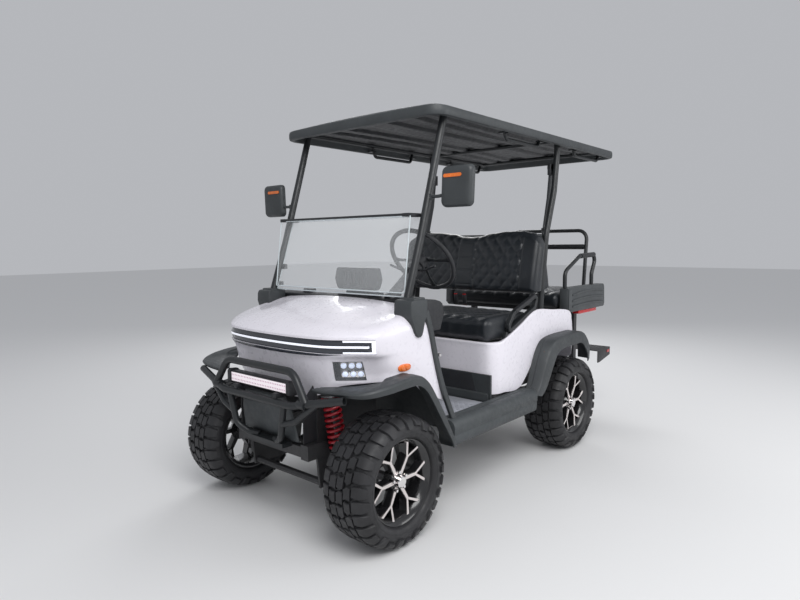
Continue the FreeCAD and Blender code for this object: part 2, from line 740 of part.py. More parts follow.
def chassis_frame():
    """Two rails from nose to step, cross members, and posts to the canopy and the rear seat."""
    start, end = front(-215), rear(s.rear_reach - s.step_depth)
    rails = [
        box(
            f"frame_rail_{side}", (x - s.rail_width / 2, start, rail_bottom),
            (x + s.rail_width / 2, end, rail_top)
        )
        for side, x in (("left", rail_x), ("right", -rail_x))
    ]
    crosses = [
        box(f"frame_cross_{index}", (-rail_x, y - 20, rail_bottom + 10), (rail_x, y + 20, rail_top - 10))
        for index, y in enumerate((start + 20, front(430), pod_y, rear(-330), rear(330), end - 50))
    ]
    posts = []
    post_x, post_y = s.deck_width / 2 - 23.5, end - 320
    for side, sign in (("left", 1), ("right", -1)):
        low, high = sorted((sign * (post_x - 18), sign * (post_x + 18)))
        posts.append(
            box(f"seat_post_{side}", (low, post_y - 20, rail_top - 40), (high, post_y + 20, s.deck_bottom))
        )
        low, high = sorted((sign * rail_x, sign * post_x))
        posts.append(
            box(f"post_outrigger_{side}", (low, post_y - 20, rail_top - 40), (high, post_y + 20, rail_top))
        )
        low, high = sorted((sign * (rail_x - 20), sign * (rail_x + 20)))
        posts.append(
            box(f"pod_post_{side}", (low, rear(-235), rail_top), (high, rear(-195), beam_top - 10))
        )
    beam = box(
        "pillar_beam", (-pillar_x - 25, rear(-240), beam_top - 40), (pillar_x + 25, rear(-190), beam_top)
    )
    deck = box(
        "rear_deck", (-s.deck_width / 2, rear(190), s.deck_bottom),
        (s.deck_width / 2, rear(s.deck_end), s.deck_bottom + s.deck_thickness),
    )
    node("chassis_frame", fuse("chassis_frame_solid", *rails, *crosses, *posts, beam, deck))


# Body


def floor_pan():
    """Footwell moulding: floor, toe board, bulkhead up to the dash, kick panel at the seat."""
    top, under = s.floor_top, s.floor_top - s.floor_thickness
    dash_z = s.dash_bottom - s.seat_gap
    knee = s.floor_top + 235
    kick = s.floor_top + 151
    profile = outline("floor_profile", "YZ", [
        (pod_y, under), (pod_y, kick), (pod_y - 14, kick), (pod_y - 14, top + 12), (pod_y - 26, top),
        (front(402), top), (front(380), top + 16), (front(266), knee - 14), (front(264), knee + 10),
        (front(326), dash_z), (front(308), dash_z), (front(246), knee + 10), (front(248), knee - 18),
        (front(385), under),
    ])
    node("floor_pan", extrude("floor_pan_solid", profile, (1, 0, 0), s.floor_width, both=True))


def rockers():
    """Side steps between the flares, with a sloped outer face and a rounded shoulder."""
    start, end = front(372), rear(-510) - s.seat_gap
    inner = s.floor_width / 2
    outer = s.flare_reach - 10
    profile = outline("rocker_profile", "XZ", [
        (inner, s.rocker_top - 4), (inner + 6, s.rocker_top), (outer - 30, s.rocker_top),
        (outer - 8, s.rocker_top - 10), (outer, s.rocker_top - 34), (outer - 8, s.rocker_bottom + 10),
        (outer - 20, s.rocker_bottom), (inner, s.rocker_bottom),
    ], level=end)
    both_sides("rockers", extrude("rocker_solid", profile, (0, -1, 0), end - start))


def cowl_block(name, inset, beyond=0.0):
    """The nose and hood as three crossing profiles, smaller by inset; beyond runs it on at the rear."""
    nose = front_y - s.cowl_nose + inset
    half = side_x - inset
    plan_half = [
        (half, front(480)), (half - 6, front(40)), (half - 22, nose + 196), (half - 62, nose + 138),
        (half - 118, nose + 92), (half - 190, nose + 52), (half - 290, nose + 16), (half - 440, nose),
    ]
    plan = outline(f"{name}_plan", "XY", mirrored_corners(plan_half), level=s.cowl_hem - 80)
    side = outline(f"{name}_side", "YZ", [
        (nose + 76, s.cowl_hem - inset), (nose + 14, 850.0), (nose, 905.0), (nose + 26, 952.0 - inset),
        (front(-68), s.cowl_top - 62 - inset), (front(60), s.cowl_top - 32 - inset),
        (front(262) + beyond, s.cowl_top - inset), (front(395) + beyond, 587.0),
        (front(395) + beyond, s.cowl_hem - 60 - inset),
    ])
    crown = s.cowl_top - inset
    face_half = [
        (half, s.cowl_hem - 90), (half - 2, 900.0), (half - 18, crown - 100), (half - 62, crown - 70),
        (half - 263, crown - 23), (half - 464, crown + 1),
    ]
    face = outline(f"{name}_face", "XZ", mirrored_corners(face_half))
    return common(
        name,
        extrude(f"{name}_plan_run", plan, (0, 0, 1), 700),
        extrude(f"{name}_side_run", side, (1, 0, 0), 1400, both=True),
        extrude(f"{name}_face_run", face, (0, 1, 0), 4000, both=True),
    )


def mirrored_corners(half):
    """Corners of the whole outline from those of its left half, listed towards the middle."""
    return half + [(-u, v) for u, v in reversed(half)]


def front_cowl():
    """Nose, hood and sides in one shell, with a raised hood panel, arches, lamp band and lamps let in."""
    gap = s.seat_gap
    nose = front_y - s.cowl_nose
    panel = outline("hood_panel_outline", "XY", [
        (190.0, nose + 62), (330.0, front(262)), (-330.0, front(262)), (-190.0, nose + 62),
    ], level=s.cowl_hem + 300)
    raised = common(
        "hood_panel", cowl_block("hood_raised", -s.hood_rise),
        extrude("hood_panel_run", panel, (0, 0, 1), 300)
    )
    outer = fuse("cowl_outside", cowl_block("cowl_outer", 0), raised)
    shell = cut("cowl_shell", outer, cowl_block("cowl_inner", s.panel_wall, beyond=40.0))
    arch = outline("cowl_arch", "YZ", [
        (front(-360), 560.0), (front(-300), 704.0), (front(-150), 722.0), (front(100), 735.0),
        (front(180), 660.0), (front(330), 420.0), (front(500), 380.0),
    ])
    arch_run = extrude("cowl_arch_run", arch, (1, 0, 0), 1500, both=True)
    keep = box("cowl_middle", (-360.0, front(-500), 300.0), (360.0, front(0), 900.0))
    slot_level = s.band_level - gap
    slot = extrude(
        "cowl_band_slot", band_outline("band_slot_plan", gap, slot_level), (0, 0, 1),
        s.band_height + 2 * gap
    )
    lamp_low, lamp_high = s.lamp_level - gap, s.lamp_level + s.lamp_height + gap
    lamps = [
        box(
            f"lamp_opening_{side}", (low - gap, front(-240), lamp_low),
            (low + s.lamp_width + gap, front(-20), lamp_high)
        )
        for side, low in (("left", s.lamp_inner), ("right", -s.lamp_inner - s.lamp_width))
    ]
    node("front_cowl", cut("cowl_solid", shell, cut("cowl_arch_cut", arch_run, keep), slot, *lamps))


def band_outline(name, gap, level):
    """Plan of the dark band; gap widens it on every side, and clears its front."""
    nose = front_y - s.cowl_nose
    ahead = gap * 60
    return outline(name, "XY", [
        (530.0 + gap + ahead * 10 / 32, front(-52) - ahead), (475.0, nose + 108 - ahead),
        (400.0, nose + 54 - ahead), (290.0, nose + 16 - ahead), (130.0, nose - 4 - ahead),
        (-130.0, nose - 4 - ahead), (-290.0, nose + 16 - ahead), (-400.0, nose + 54 - ahead),
        (-475.0, nose + 108 - ahead), (-530.0 - gap - ahead * 10 / 32, front(-52) - ahead),
        (-520.0 - gap, front(-20) + gap), (-395.0, nose + 94 + gap), (-200.0, nose + 42 + gap),
        (200.0, nose + 42 + gap), (395.0, nose + 94 + gap), (520.0 + gap, front(-20) + gap),
    ], level=level)


def light_band():
    """Dark curved band across the nose, let in round the front."""
    run = extrude(
        "light_band_solid", band_outline("band_plan", 0.0, s.band_level), (0, 0, 1), s.band_height
    )
    node("light_band", run)


def headlamps():
    """Lamp bodies whose lenses follow the nose's curve, a little inside it."""
    low = (s.lamp_inner, front(-240), s.lamp_level)
    high = (s.lamp_inner + s.lamp_width, front(-40), s.lamp_level + s.lamp_height)
    block = box("headlamp_block", low, high)
    both_sides("headlamps", common("headlamp_solid", block, cowl_block("lamp_face", 2.0)))


def flares():
    """Sculpted wheel-arch flares: each runs out from the body and is chamfered along its outer edge."""
    inner_x = side_x + s.seat_gap
    shoulder_x = s.flare_reach - s.flare_chamfer
    # behind the axle, height, and how far the corner moves back and down over the chamfer
    front_line = [
        (-265, 704, 0, 0), (-60, 720, 0, 0), (66, 706, 0, 0), (134, 660, 0, 0), (214, 540, 0, 0),
        (344, 354, 0, 0), (371, 354, 0, 0), (368, 420, -8, -4), (285, 556, -8, -6), (192, 690, -8, -8),
        (158, 728, -4, -10), (112, 744, 0, -11), (-60, 746, 4, -11), (-265, 720, 6, -8),
    ]
    rear_line = [
        (-510, 380, 0, 0), (-440, 386, 0, 0), (-321, 497, 0, 0), (-222, 583, 0, 0), (-141, 650, 0, 0),
        (-40, 678, 0, 0), (60, 676, 0, 0), (150, 620, 0, 0), (176, 552, 0, 0), (205, 560, -6, 0),
        (190, 652, -8, -6), (132, 722, -6, -9), (64, 748, 0, -11), (-228, 746, 0, -11),
        (-330, 722, 6, -9), (-387, 690, 8, -7), (-475, 487, 9, -3), (-510, 472, 9, -2),
    ]
    front_form = flare_form("front_flare", front_line, front, 300.0, shoulder_x)
    front_plan = outline("front_flare_plan", "XY", [
        (s.flare_reach, front(400)), (s.flare_reach, front(-80)), (s.flare_reach - 20, front(-150)),
        (600.0, front(-212)), (540.0, front(-238)), (345.0, front(-262)), (345.0, front(-100)),
        (500.0, front(400)),
    ], level=300.0)
    clear = box(
        "front_flare_clearance", (400.0, front(40), 300.0),
        (s.flare_reach - s.flare_width, front(450), 640.0)
    )
    front_solid = cut(
        "front_flare_solid",
        common("front_flare_shape", front_form, extrude("front_flare_rise", front_plan, (0, 0, 1), 600)),
        cowl_block("flare_seat", -s.seat_gap), clear,
    )
    both_sides("front_flares", front_solid)
    both_sides("rear_flares", flare_form("rear_flare", rear_line, rear, inner_x, shoulder_x))


def flare_form(name, line, from_axle, inner_x, shoulder_x):
    """A flare from the body out to its shoulder, and on over the chamfer to its outer face."""
    straight = [(from_axle(y), float(z)) for y, z, _back, _down in line]
    drawn_in = [(from_axle(y + back), float(z + down)) for y, z, back, down in line]
    levels = ((inner_x, straight), (shoulder_x, straight), (s.flare_reach, drawn_in))
    sections = [
        outline(f"{name}_at_{index}", "YZ", corners, level=x) for index, (x, corners) in enumerate(levels)
    ]
    return ruled(name, *sections)


def pod_block(name, inset):
    """The pod's outer form, smaller by inset: its side profile, rounded in plan at the front corners."""
    profile = outline(f"{name}_side", "YZ", [
        (pod_y + inset, s.pod_hem - inset), (pod_y + inset, s.pod_shelf + inset),
        (rear(-740), s.pod_shelf + inset), (rear(-400), s.pod_rise - 9 + inset),
        (rear(-340), s.pod_rise - 2 + inset), (rear(60), s.pod_tail + 4 + inset),
        (rear(100), s.pod_tail - 14 + inset), (rear(153) - inset, s.pod_shelf - 13),
        (rear(160) - inset, s.pod_hem - inset),
    ])
    half = side_x - inset
    start = pod_y + inset
    plan = outline(f"{name}_plan", "XY", [
        (half, rear(400)), (half, start + 56), (half - 8, start + 28), (half - 28, start + 8),
        (half - 56, start), (-half + 56, start), (-half + 28, start + 8), (-half + 8, start + 28),
        (-half, start + 56), (-half, rear(400)),
    ], level=s.pod_hem - 100)
    return common(
        name,
        extrude(f"{name}_side_run", profile, (1, 0, 0), s.body_width + 40, both=True),
        extrude(f"{name}_plan_run", plan, (0, 0, 1), 700),
    )


def seat_pod():
    """White rear body: an open-topped box with sloped sides, cut wheel arches and the seat's hinge rod."""
    shell = cut("pod_shell", pod_block("pod_outer", 0), pod_block("pod_inner", s.panel_wall))
    low = (-side_x + 60, pod_y + s.panel_wall, 400.0)
    high = (side_x - 60, rear(150) - s.panel_wall, s.pod_shelf - 78)
    middle = box("pod_lower", low, high)
    arch = rod("pod_arch", (-700.0, rear_y, axle_z), (700.0, rear_y, axle_z), s.pod_arch_radius, sides=24)
    corner = box("pod_tail_cut", (-700.0, rear_y, 400.0), (700.0, rear(300), 560.0))
    rim_low, rim_high = s.pod_shelf - s.panel_wall, s.pod_shelf
    plate = common(
        "pod_ledge_plate",
        box("pod_ledge_block", (-side_x + 1, pod_y + 1, rim_low), (side_x - 1, rear(-350), rim_high)),
        pod_block("pod_ledge_limit", 1),
    )
    opening = box("pod_ledge_opening", (-480.0, pod_y + 50, rim_low - 1), (480.0, rear(-420), rim_high + 1))
    hinge_z = s.pod_shelf + s.seat_gap
    hinge = rod("seat_hinge_rod", (-200.0, rear(-372), hinge_z), (200.0, rear(-372), hinge_z), 4)
    body = cut("pod_body", shell, middle, arch, corner)
    node("seat_pod", fuse("pod_solid", body, cut("pod_ledge", plate, opening), hinge))


def battery_pack():
    """Battery block between the rails, under the front seat."""
    top = s.pod_shelf - s.battery_room
    low = (-s.battery_width / 2, pod_y + 60, rail_top)
    node("battery_pack", box("battery_block", low, (s.battery_width / 2, pod_y + 430, top)))


def dashboard():
    """Dash shelf behind the hood, pillar to pillar, its display on a pedestal and the column's hole."""
    edge = s.seat_gap
    low, high = s.dash_bottom, s.cowl_top
    profile = outline("dash_profile", "YZ", [
        (front(304) + edge, low), (front(262) + edge, high), (front(310), high + 9), (front(350), high + 8),
        (front(414), high - 6), (front(432), high - 24), (front(438), high - 78), (front(410), low),
    ])
    shelf = extrude("dash_shelf", profile, (1, 0, 0), s.body_width - 60, both=True)
    head = extrude("display_head", outline("display_outline", "XZ", [
        (-138.0, high + 28), (138.0, high + 28), (164.0, high + 86), (150.0, high + 148),
        (-150.0, high + 148), (-164.0, high + 86),
    ], level=front(364)), (0, -1, 0), 40)
    pedestal = extrude("display_pedestal", outline("pedestal_outline", "XZ", [
        (-96.0, high - 12), (96.0, high - 12), (74.0, high + 40), (-74.0, high + 40),
    ], level=front(372)), (0, -1, 0), 46)
    pods = [
        box(f"dash_pod_{index}", (x - 34, front(300), high - 10), (x + 34, front(352), high + 26))
        for index, x in enumerate((-330.0, 190.0))
    ]
    start, end, _hub, _axis = column_line()
    hole = rod("column_hole", start, end, s.column_radius + 1.2, sides=12)
    node("dashboard", cut("dashboard_solid", fuse("dashboard_form", shelf, head, pedestal, *pods), hole))


def pillar_feet():
    """Black moulded feet that carry the front pillars and wrap down the cowl's side."""
    top = s.cowl_top + 18
    profile = outline("pillar_foot_outline", "YZ", [
        (front(262), top), (front(160), top), (front(146), top - 14), (front(140), top - 60),
        (front(164), top - 118), (front(184), top - 156), (front(206), top - 164),
        (front(226), top - 154), (front(262), top - 70),
    ], level=pillar_x - 34)
    form = extrude("pillar_foot_form", profile, (1, 0, 0), side_x + 9 - pillar_x + 34)
    socket = rod("pillar_socket", *front_pillar_run()[:2], s.pillar_radius + 1.2, CANOPY_SIDES)
    both_sides("pillar_feet", cut("pillar_foot", form, cowl_block("foot_seat", -s.seat_gap), socket))


def front_pillar_run():
    """The front pillar's line from its foot to the roof's side tube."""
    roof_z = rail_height_under_roof()
    return [
        (pillar_x, front(194), s.cowl_top - 2), (pillar_x, front(299), s.cowl_top + 292),
        (pillar_x, front(437), roof_z - 180), (pillar_x, front(492), roof_z),
    ]


def rail_height_under_roof():
    """Middle height of the roof's side tubes, whose upper edges lie against the canopy's inside."""
    inward = s.roof_width / 2 - s.roof_wall - pillar_x
    (first, low), (second, high) = CROWN_RISE[:2]
    share = low + (inward - first) * (high - low) / (second - first)
    underside = s.roof_edge + s.roof_side - s.roof_wall + s.roof_crown * share
    return float(underside - s.roof_rail_radius - s.seat_gap)


def canopy_frame():
    """Four bent pillars welded to the tubes under the canopy, and four grab handles under those."""
    rail_z = rail_height_under_roof()
    rear_run = [
        (pillar_x, rear(-215), beam_top + s.seat_gap), (pillar_x, rear(-215), 860.0),
        (pillar_x, rear(-197), 1037.0), (pillar_x, rear(-148), 1374.0), (pillar_x, rear(-51), 1645.0),
        (pillar_x, rear(-16), rail_z - 90), (pillar_x, rear(-16), rail_z),
    ]
    front_tube = tube("front_pillar", front_pillar_run(), s.pillar_radius, sides=CANOPY_SIDES)
    rear_tube = tube("rear_pillar", rear_run, s.pillar_radius, sides=CANOPY_SIDES)
    rails = [
        rod(f"roof_rail_{side}", (x, front(440), rail_z), (x, rear(700), rail_z), s.roof_rail_radius, CANOPY_SIDES)
        for side, x in (("left", pillar_x), ("right", -pillar_x))
    ]
    crosses = [
        rod(f"roof_cross_{index}", (-pillar_x, y, rail_z), (pillar_x, y, rail_z), 14, sides=6)
        for index, y in enumerate((front(470), rear(-10), rear(660)))
    ]
    handles = []
    for end, start in (("front", rear(-660)), ("rear", rear(210))):
        handles.append(tube(f"{end}_handle", [
            (pillar_x, start, rail_z), (pillar_x, start + 24, rail_z - 62),
            (pillar_x, start + s.handle_length - 24, rail_z - 62),
            (pillar_x, start + s.handle_length, rail_z),
        ], 9, 30, sides=6))
    tubes = [front_tube, rear_tube, *handles]
    others = [mirror(f"{solid.Name}_right", solid) for solid in tubes]
    node("canopy_frame", fuse("canopy_frame_solid", *rails, *crosses, *tubes, *others))


def roof_block(name, inset):
    """The canopy's outer form, smaller by inset: rounded corners in plan and a crowned top."""
    half = s.roof_width / 2 - inset
    start = front_y + s.roof_overhang + inset
    end = front_y + s.roof_overhang + s.roof_length - inset
    plan_half = [
        (half - 90, start), (half - 45, start + 12), (half - 12, start + 45), (half, start + 90),
        (half, end - 90), (half - 12, end - 45), (half - 45, end - 12), (half - 90, end),
    ]
    corners = plan_half + [(-u, v) for u, v in reversed(plan_half)]
    plan = outline(f"{name}_plan", "XY", corners, level=s.roof_edge - inset)
    edge = s.roof_edge + s.roof_side - inset
    face_half = [(half + 40, s.roof_edge - 50)]
    face_half += [(half - inward, edge + s.roof_crown * share) for inward, share in CROWN_RISE]
    face = outline(f"{name}_face", "XZ", mirrored_corners(face_half))
    return common(
        name,
        extrude(f"{name}_plan_run", plan, (0, 0, 1), 200),
        extrude(f"{name}_face_run", face, (0, 1, 0), 6000, both=True),
    )


def roof():
    """Crowned shell with a deep rim, ribbed inside from front to back."""
    shell = cut("roof_shell", roof_block("roof_outer", 0), roof_block("roof_inner", s.roof_wall))
    crown = s.roof_edge + s.roof_side + s.roof_crown
    start = front_y + s.roof_overhang + s.roof_wall + 60
    end = front_y + s.roof_overhang + s.roof_length - s.roof_wall - 60
    ribs = [
        box(
            f"roof_rib_{index}", (x - 14, start, crown - s.roof_wall - 34 * (x / 560) ** 2 - 9),
            (x + 14, end, crown)
        )
        for index, x in enumerate((-330.0, -190.0, 0.0, 190.0, 330.0))
    ]
    limit = roof_block("roof_rib_limit", 1)
    node("roof", fuse("roof_solid", shell, common("roof_ribs", fuse("roof_rib_set", *ribs), limit)))


def windshield():
    """Lower pane between the pillars and the upper pane folded down in front of it."""
    thick = s.screen_thickness
    low, high = s.cowl_top + 24, s.cowl_top + 403
    clear_width = 2 * (pillar_x - s.pillar_radius) - 6
    folded = extrude("screen_folded", outline("screen_folded_outline", "YZ", [
        (front(205), low + 19), (front(205) + thick, low + 19), (front(250) + thick, high),
        (front(250), high),
    ]), (1, 0, 0), clear_width, both=True)
    fixed = extrude("screen_fixed", outline("screen_fixed_outline", "YZ", [
        (front(214), low), (front(214) + thick, low), (front(340) + thick, high), (front(340), high),
    ]), (1, 0, 0), 2 * (pillar_x - pillar_flat - s.seat_gap), both=True)
    hinge = extrude("screen_hinge", outline("screen_hinge_outline", "YZ", [
        (front(244), high), (front(352), high), (front(352), high + 13), (front(244), high + 13),
    ]), (1, 0, 0), clear_width, both=True)
    node("windshield", fuse("windshield_solid", folded, fixed, hinge))


def mirrors():
    """Tall mirror heads with cut corners and a smaller back, each on an arm from its pillar."""
    inner, outer = side_x + 17, side_x + 17 + s.mirror_width
    low, high = s.mirror_level, s.mirror_level + s.mirror_height
    corners = [
        (inner + 16, low), (outer - 22, low), (outer - 5, low + 18), (outer, high - 30),
        (outer - 8, high - 10), (outer - 26, high), (inner + 26, high), (inner + 8, high - 10),
        (inner, high - 30), (inner, low + 18),
    ]
    middle_x, middle_z = (inner + outer) / 2, (low + high) / 2
    smaller = [(middle_x + (x - middle_x) * 0.8, middle_z + (z - middle_z) * 0.8) for x, z in corners]
    plates = ((front(376), corners), (front(356), corners), (front(340), smaller))
    sections = [outline(f"mirror_at_{index}", "XZ", run, level=y) for index, (y, run) in enumerate(plates)]
    arm_y, arm_z = front(361), low + 55
    start = (pillar_x + s.pillar_radius + s.seat_gap, arm_y, arm_z)
    arm = rod("mirror_arm", start, (inner + 18, arm_y, arm_z), 8, sides=6)
    both_sides("mirrors", fuse("mirror_solid", ruled("mirror_head", *sections), arm))


def bull_bar():
    """Bent tube bumper: main bar with swept wings, upper hoop, uprights and braces."""
    y = front_y - s.front_reach + s.bar_radius
    z = s.bar_level
    main = tube("bar_main", [
        (-532.0, y + 58, z + 56), (-256.0, y, z), (256.0, y, z), (532.0, y + 58, z + 56),
    ], s.bar_radius, 90, sides=8)
    hoop = tube("bar_hoop", [
        (-338.0, y + 14, z + 20), (-250.0, y + 22, z + 146), (250.0, y + 22, z + 146),
        (338.0, y + 14, z + 20),
    ], s.bar_radius, 70, sides=8)
    uprights = [
        tube(f"bar_upright_{side}", [
            (sign * 205.0, y, z), (sign * 170.0, y + 10, z - 156), (sign * 110.0, y + 40, z - 196),
            (sign * 60.0, y + 60, z - 202),
        ], s.bar_radius - 2, 60, sides=8)
        for side, sign in (("left", 1), ("right", -1))
    ]
    braces = [
        rod(
            f"bar_brace_{side}", (sign * 186.0, y + 6, z - 96), (sign * 400.0, y + 30, z + 29),
            s.bar_radius - 3, sides=8
        )
        for side, sign in (("left", 1), ("right", -1))
    ]
    plate = box("bar_plate", (-150.0, y + 30, z - 221), (150.0, front(-215), z - 201))
    node("bull_bar", fuse("bull_bar_solid", main, hoop, *uprights, *braces, plate))


def light_bar():
    """Lamp housing behind the main bar, with deeper end caps, on two feet that stand on the bar."""
    y = front_y - s.front_reach + s.bar_radius
    foot_z = s.bar_level + s.bar_radius + s.seat_gap
    low, high = s.bar_level + 34, s.bar_level + 102
    housing = box("light_bar_housing", (-215.0, y + 16, low + 4), (215.0, y + 62, high - 4))
    caps = [
        box(f"light_bar_cap_{index}", (x, y + 10, low), (x + 22, y + 64, high))
        for index, x in enumerate((-236.0, 214.0))
    ]
    feet = [
        box(f"light_bar_foot_{index}", (x - 12, y - 8, foot_z), (x + 12, y + 40, low + 8))
        for index, x in enumerate((-150.0, 150.0))
    ]
    node("light_bar", fuse("light_bar_solid", housing, *caps, *feet))


def column_line():
    """The column's lower and upper end, the steering wheel's middle and its axis."""
    tilt = math.radians(36)
    axis = Vector(0, math.cos(tilt), math.sin(tilt))
    hub = Vector(s.steer_wheel_x, front(560), 1240.0)
    return tuple(hub - axis * 330), tuple(hub - axis * 60), hub, axis


def steering():
    """Column through the dash; the wheel turns about the column's axis."""
    start, end, hub, axis = column_line()
    node("steering_column", rod("column_tube", start, end, s.column_radius, sides=12))
    grip, flank = s.ring_radius, s.ring_radius / 2
    ring_part = wedge("steering_ring_part", [
        (-flank, s.wheel_ring + grip), (flank, s.wheel_ring + grip), (grip, s.wheel_ring),
        (flank, s.wheel_ring - grip), (-flank, s.wheel_ring - grip), (-grip, s.wheel_ring),
    ], RING_SIDES, s.wheel_ring + grip)
    lie = Rotation(Vector(1, 0, 0), axis)
    ring = moved("steering_ring_set", wedge_ring("steering_ring", [ring_part], RING_SIDES), *hub, turn=lie)
    boss = rod("steering_boss", tuple(hub - axis * 59.5), tuple(hub + axis * 12), 40)
    spokes = []
    for index, angle in enumerate((0, 90, 180)):
        spoke = box(f"steering_spoke_{index}", (0.0, 0.0, 0.0), (s.wheel_ring, 32.0, 10.0))
        turn = Rotation(Vector(0, 0, 1), axis).multiply(Rotation(Vector(0, 0, 1), angle))
        spoke.Placement = Placement(hub + turn.multVec(Vector(0, -16, -5)), turn)
        spokes.append(spoke)
    node("steering_wheel", fuse("steering_wheel_solid", ring, boss, *spokes))


# Seats


def cushion_block(name, low, high, radius):
    """A cushion with rounded long edges and chamfered ends."""
    (x0, y0, z0), (x1, y1, z1) = low, high
    profile = outline(f"{name}_profile", "YZ", [
        (y0, z0 + radius), (y0 + radius * 0.3, z0 + radius * 0.3), (y0 + radius, z0),
        (y1 - radius, z0), (y1 - radius * 0.3, z0 + radius * 0.3), (y1, z0 + radius),
        (y1, z1 - radius), (y1 - radius * 0.3, z1 - radius * 0.3), (y1 - radius, z1),
        (y0 + radius, z1), (y0 + radius * 0.3, z1 - radius * 0.3), (y0, z1 - radius),
    ])
    face = outline(f"{name}_face", "XZ", [
        (x0, z0 + 12), (x0 + 12, z0), (x1 - 12, z0), (x1, z0 + 12), (x1, z1 - 24), (x1 - 24, z1),
        (x0 + 24, z1), (x0, z1 - 24),
    ])
    return common(
        name, extrude(f"{name}_run", profile, (1, 0, 0), 3000, both=True),
        extrude(f"{name}_face_run", face, (0, 1, 0), 6000, both=True),
    )


def front_seats():
    """Bench cushion over the pod, and a backrest with two rounded peaks and a dip between them."""
    half = arm_x - s.arm_width / 2 - s.cushion_gap
    low = (-half, pod_y + 2, s.pod_shelf + s.seat_gap)
    high = (half, rear(-372), s.pod_shelf + s.cushion_height)
    node("front_cushion", cushion_block("front_cushion_solid", low, high, 30))
    bottom, top = s.back_bottom, s.back_bottom + s.back_height
    profile = outline("front_back_profile", "YZ", [
        (rear(-352), bottom + 20), (rear(-340), bottom), (rear(-221), bottom), (rear(-168), top - 28),
        (rear(-174), top - 6), (rear(-192), top), (rear(-222), top), (rear(-250), top - 14),
        (rear(-266), top - 44),
    ])
    wide = s.back_width / 2
    face = outline("front_back_face", "XZ", back_corners(wide, bottom, top))
    node("front_backrest", common(
        "front_back_solid", extrude("front_back_run", profile, (1, 0, 0), 3000, both=True),
        extrude("front_back_face_run", face, (0, 1, 0), 6000, both=True),
    ))


def back_corners(wide, bottom, top):
    """Front view of a backrest: rounded corners, a peak for each sitter and a dip in the middle."""
    half = [
        (0.0, top - 34), (wide * 0.12, top - 30), (wide * 0.3, top - 12), (wide * 0.5, top - 1),
        (wide * 0.72, top), (wide - 70, top - 12), (wide - 30, top - 36), (wide - 8, top - 74),
        (wide, top - 120), (wide, bottom + 60), (wide - 14, bottom + 18), (wide - 44, bottom),
    ]
    return half + [(-u, v) for u, v in reversed(half[1:])]


def seat_back_shell():
    """Moulded shell between the two backrests, from pillar to pillar."""
    gap = s.seat_gap
    top = s.back_bottom + 370
    profile = outline("back_shell_profile", "YZ", [
        (rear(-221) + gap, s.back_bottom), (rear(-172) - gap, s.back_bottom), (rear(-127) - gap, top),
        (rear(-166.9) + gap, top),
    ])
    width = 2 * (pillar_x - s.pillar_radius - gap)
    node("seat_back_shell", extrude("back_shell_solid", profile, (1, 0, 0), width, both=True))


def rear_seats():
    """Bench cushion on the deck and the backrest that faces the back."""
    deck = s.deck_bottom + s.deck_thickness
    low = (-s.deck_width / 2 + 6, rear(140), deck + s.seat_gap)
    high = (s.deck_width / 2 - 6, rear(760), deck + 128)
    node("rear_cushion", cushion_block("rear_cushion_solid", low, high, 30))
    bottom, top = s.back_bottom, s.back_bottom + 370
    profile = outline("rear_back_profile", "YZ", [
        (rear(-171), bottom + 8), (rear(-128.6), top - 14), (rear(-116), top), (rear(-80), top),
        (rear(-52), top - 24), (rear(62), bottom + 24), (rear(50), bottom), (rear(-164), bottom),
    ])
    face = outline("rear_back_face", "XZ", back_corners(s.deck_width / 2 + 4.5, bottom, top))
    node("rear_backrest", common(
        "rear_back_solid", extrude("rear_back_run", profile, (1, 0, 0), 3000, both=True),
        extrude("rear_back_face_run", face, (0, 1, 0), 6000, both=True),
    ))


def arm_rests():
    """Flat-section loops beside the front bench and tube hoops on the rear side covers."""
    loop = flat_bar("front_arm", [
        (arm_x, rear(-713), s.pod_shelf - 14), (arm_x, rear(-618), s.pod_shelf + 149),
        (arm_x, rear(-330), s.pod_shelf + 247), (arm_x, rear(-377), s.pod_shelf - 14),
    ], s.arm_width, 15.0)
    below = box(
        "front_arm_below", (arm_x - s.arm_width, rear(-780), s.pod_shelf - 100),
        (arm_x + s.arm_width, rear(-320), s.pod_shelf + s.seat_gap),
    )
    seated = cut("front_arm_seated", loop, below)
    x = s.deck_width / 2 + s.cover_width / 2
    low = s.cover_top + s.seat_gap
    hoop = tube("rear_arm", [
        (x, rear(180), low), (x, rear(180), low + 110), (x, rear(400), low + 208),
        (x, rear(690), low + 218), (x, rear(610), low + 80), (x, rear(610), low),
    ], s.grab_radius, 60, sides=8)
    node("armrests", seated, hoop, mirror("front_arm_right", seated), mirror("rear_arm_right", hoop))


def side_covers():
    """Moulded covers beside the rear seat, with three long ribs and a boss for the hoop's front foot."""
    inner = s.deck_width / 2 + s.seat_gap
    outer = inner + s.cover_width
    low, high = s.deck_bottom, s.cover_top
    form = outline("side_cover_outline", "YZ", [
        (rear(165), low + 30), (rear(190), low), (rear(770), low), (rear(790), low + 24),
        (rear(782), high - 30), (rear(756), high), (rear(180), high), (rear(165), high - 24),
    ], level=inner)
    body = extrude("side_cover", form, (1, 0, 0), s.cover_width)
    ribs = [
        box(f"cover_rib_{index}", (outer - 1, rear(240), z), (outer + 6, rear(760), z + 12))
        for index, z in enumerate((low + 34, low + 74, low + 114))
    ]
    boss = box("cover_boss", (outer - 1, rear(168), low + 20), (outer + 9, rear(222), high - 10))
    both_sides("rear_side_covers", fuse("side_cover_solid", body, *ribs, boss))


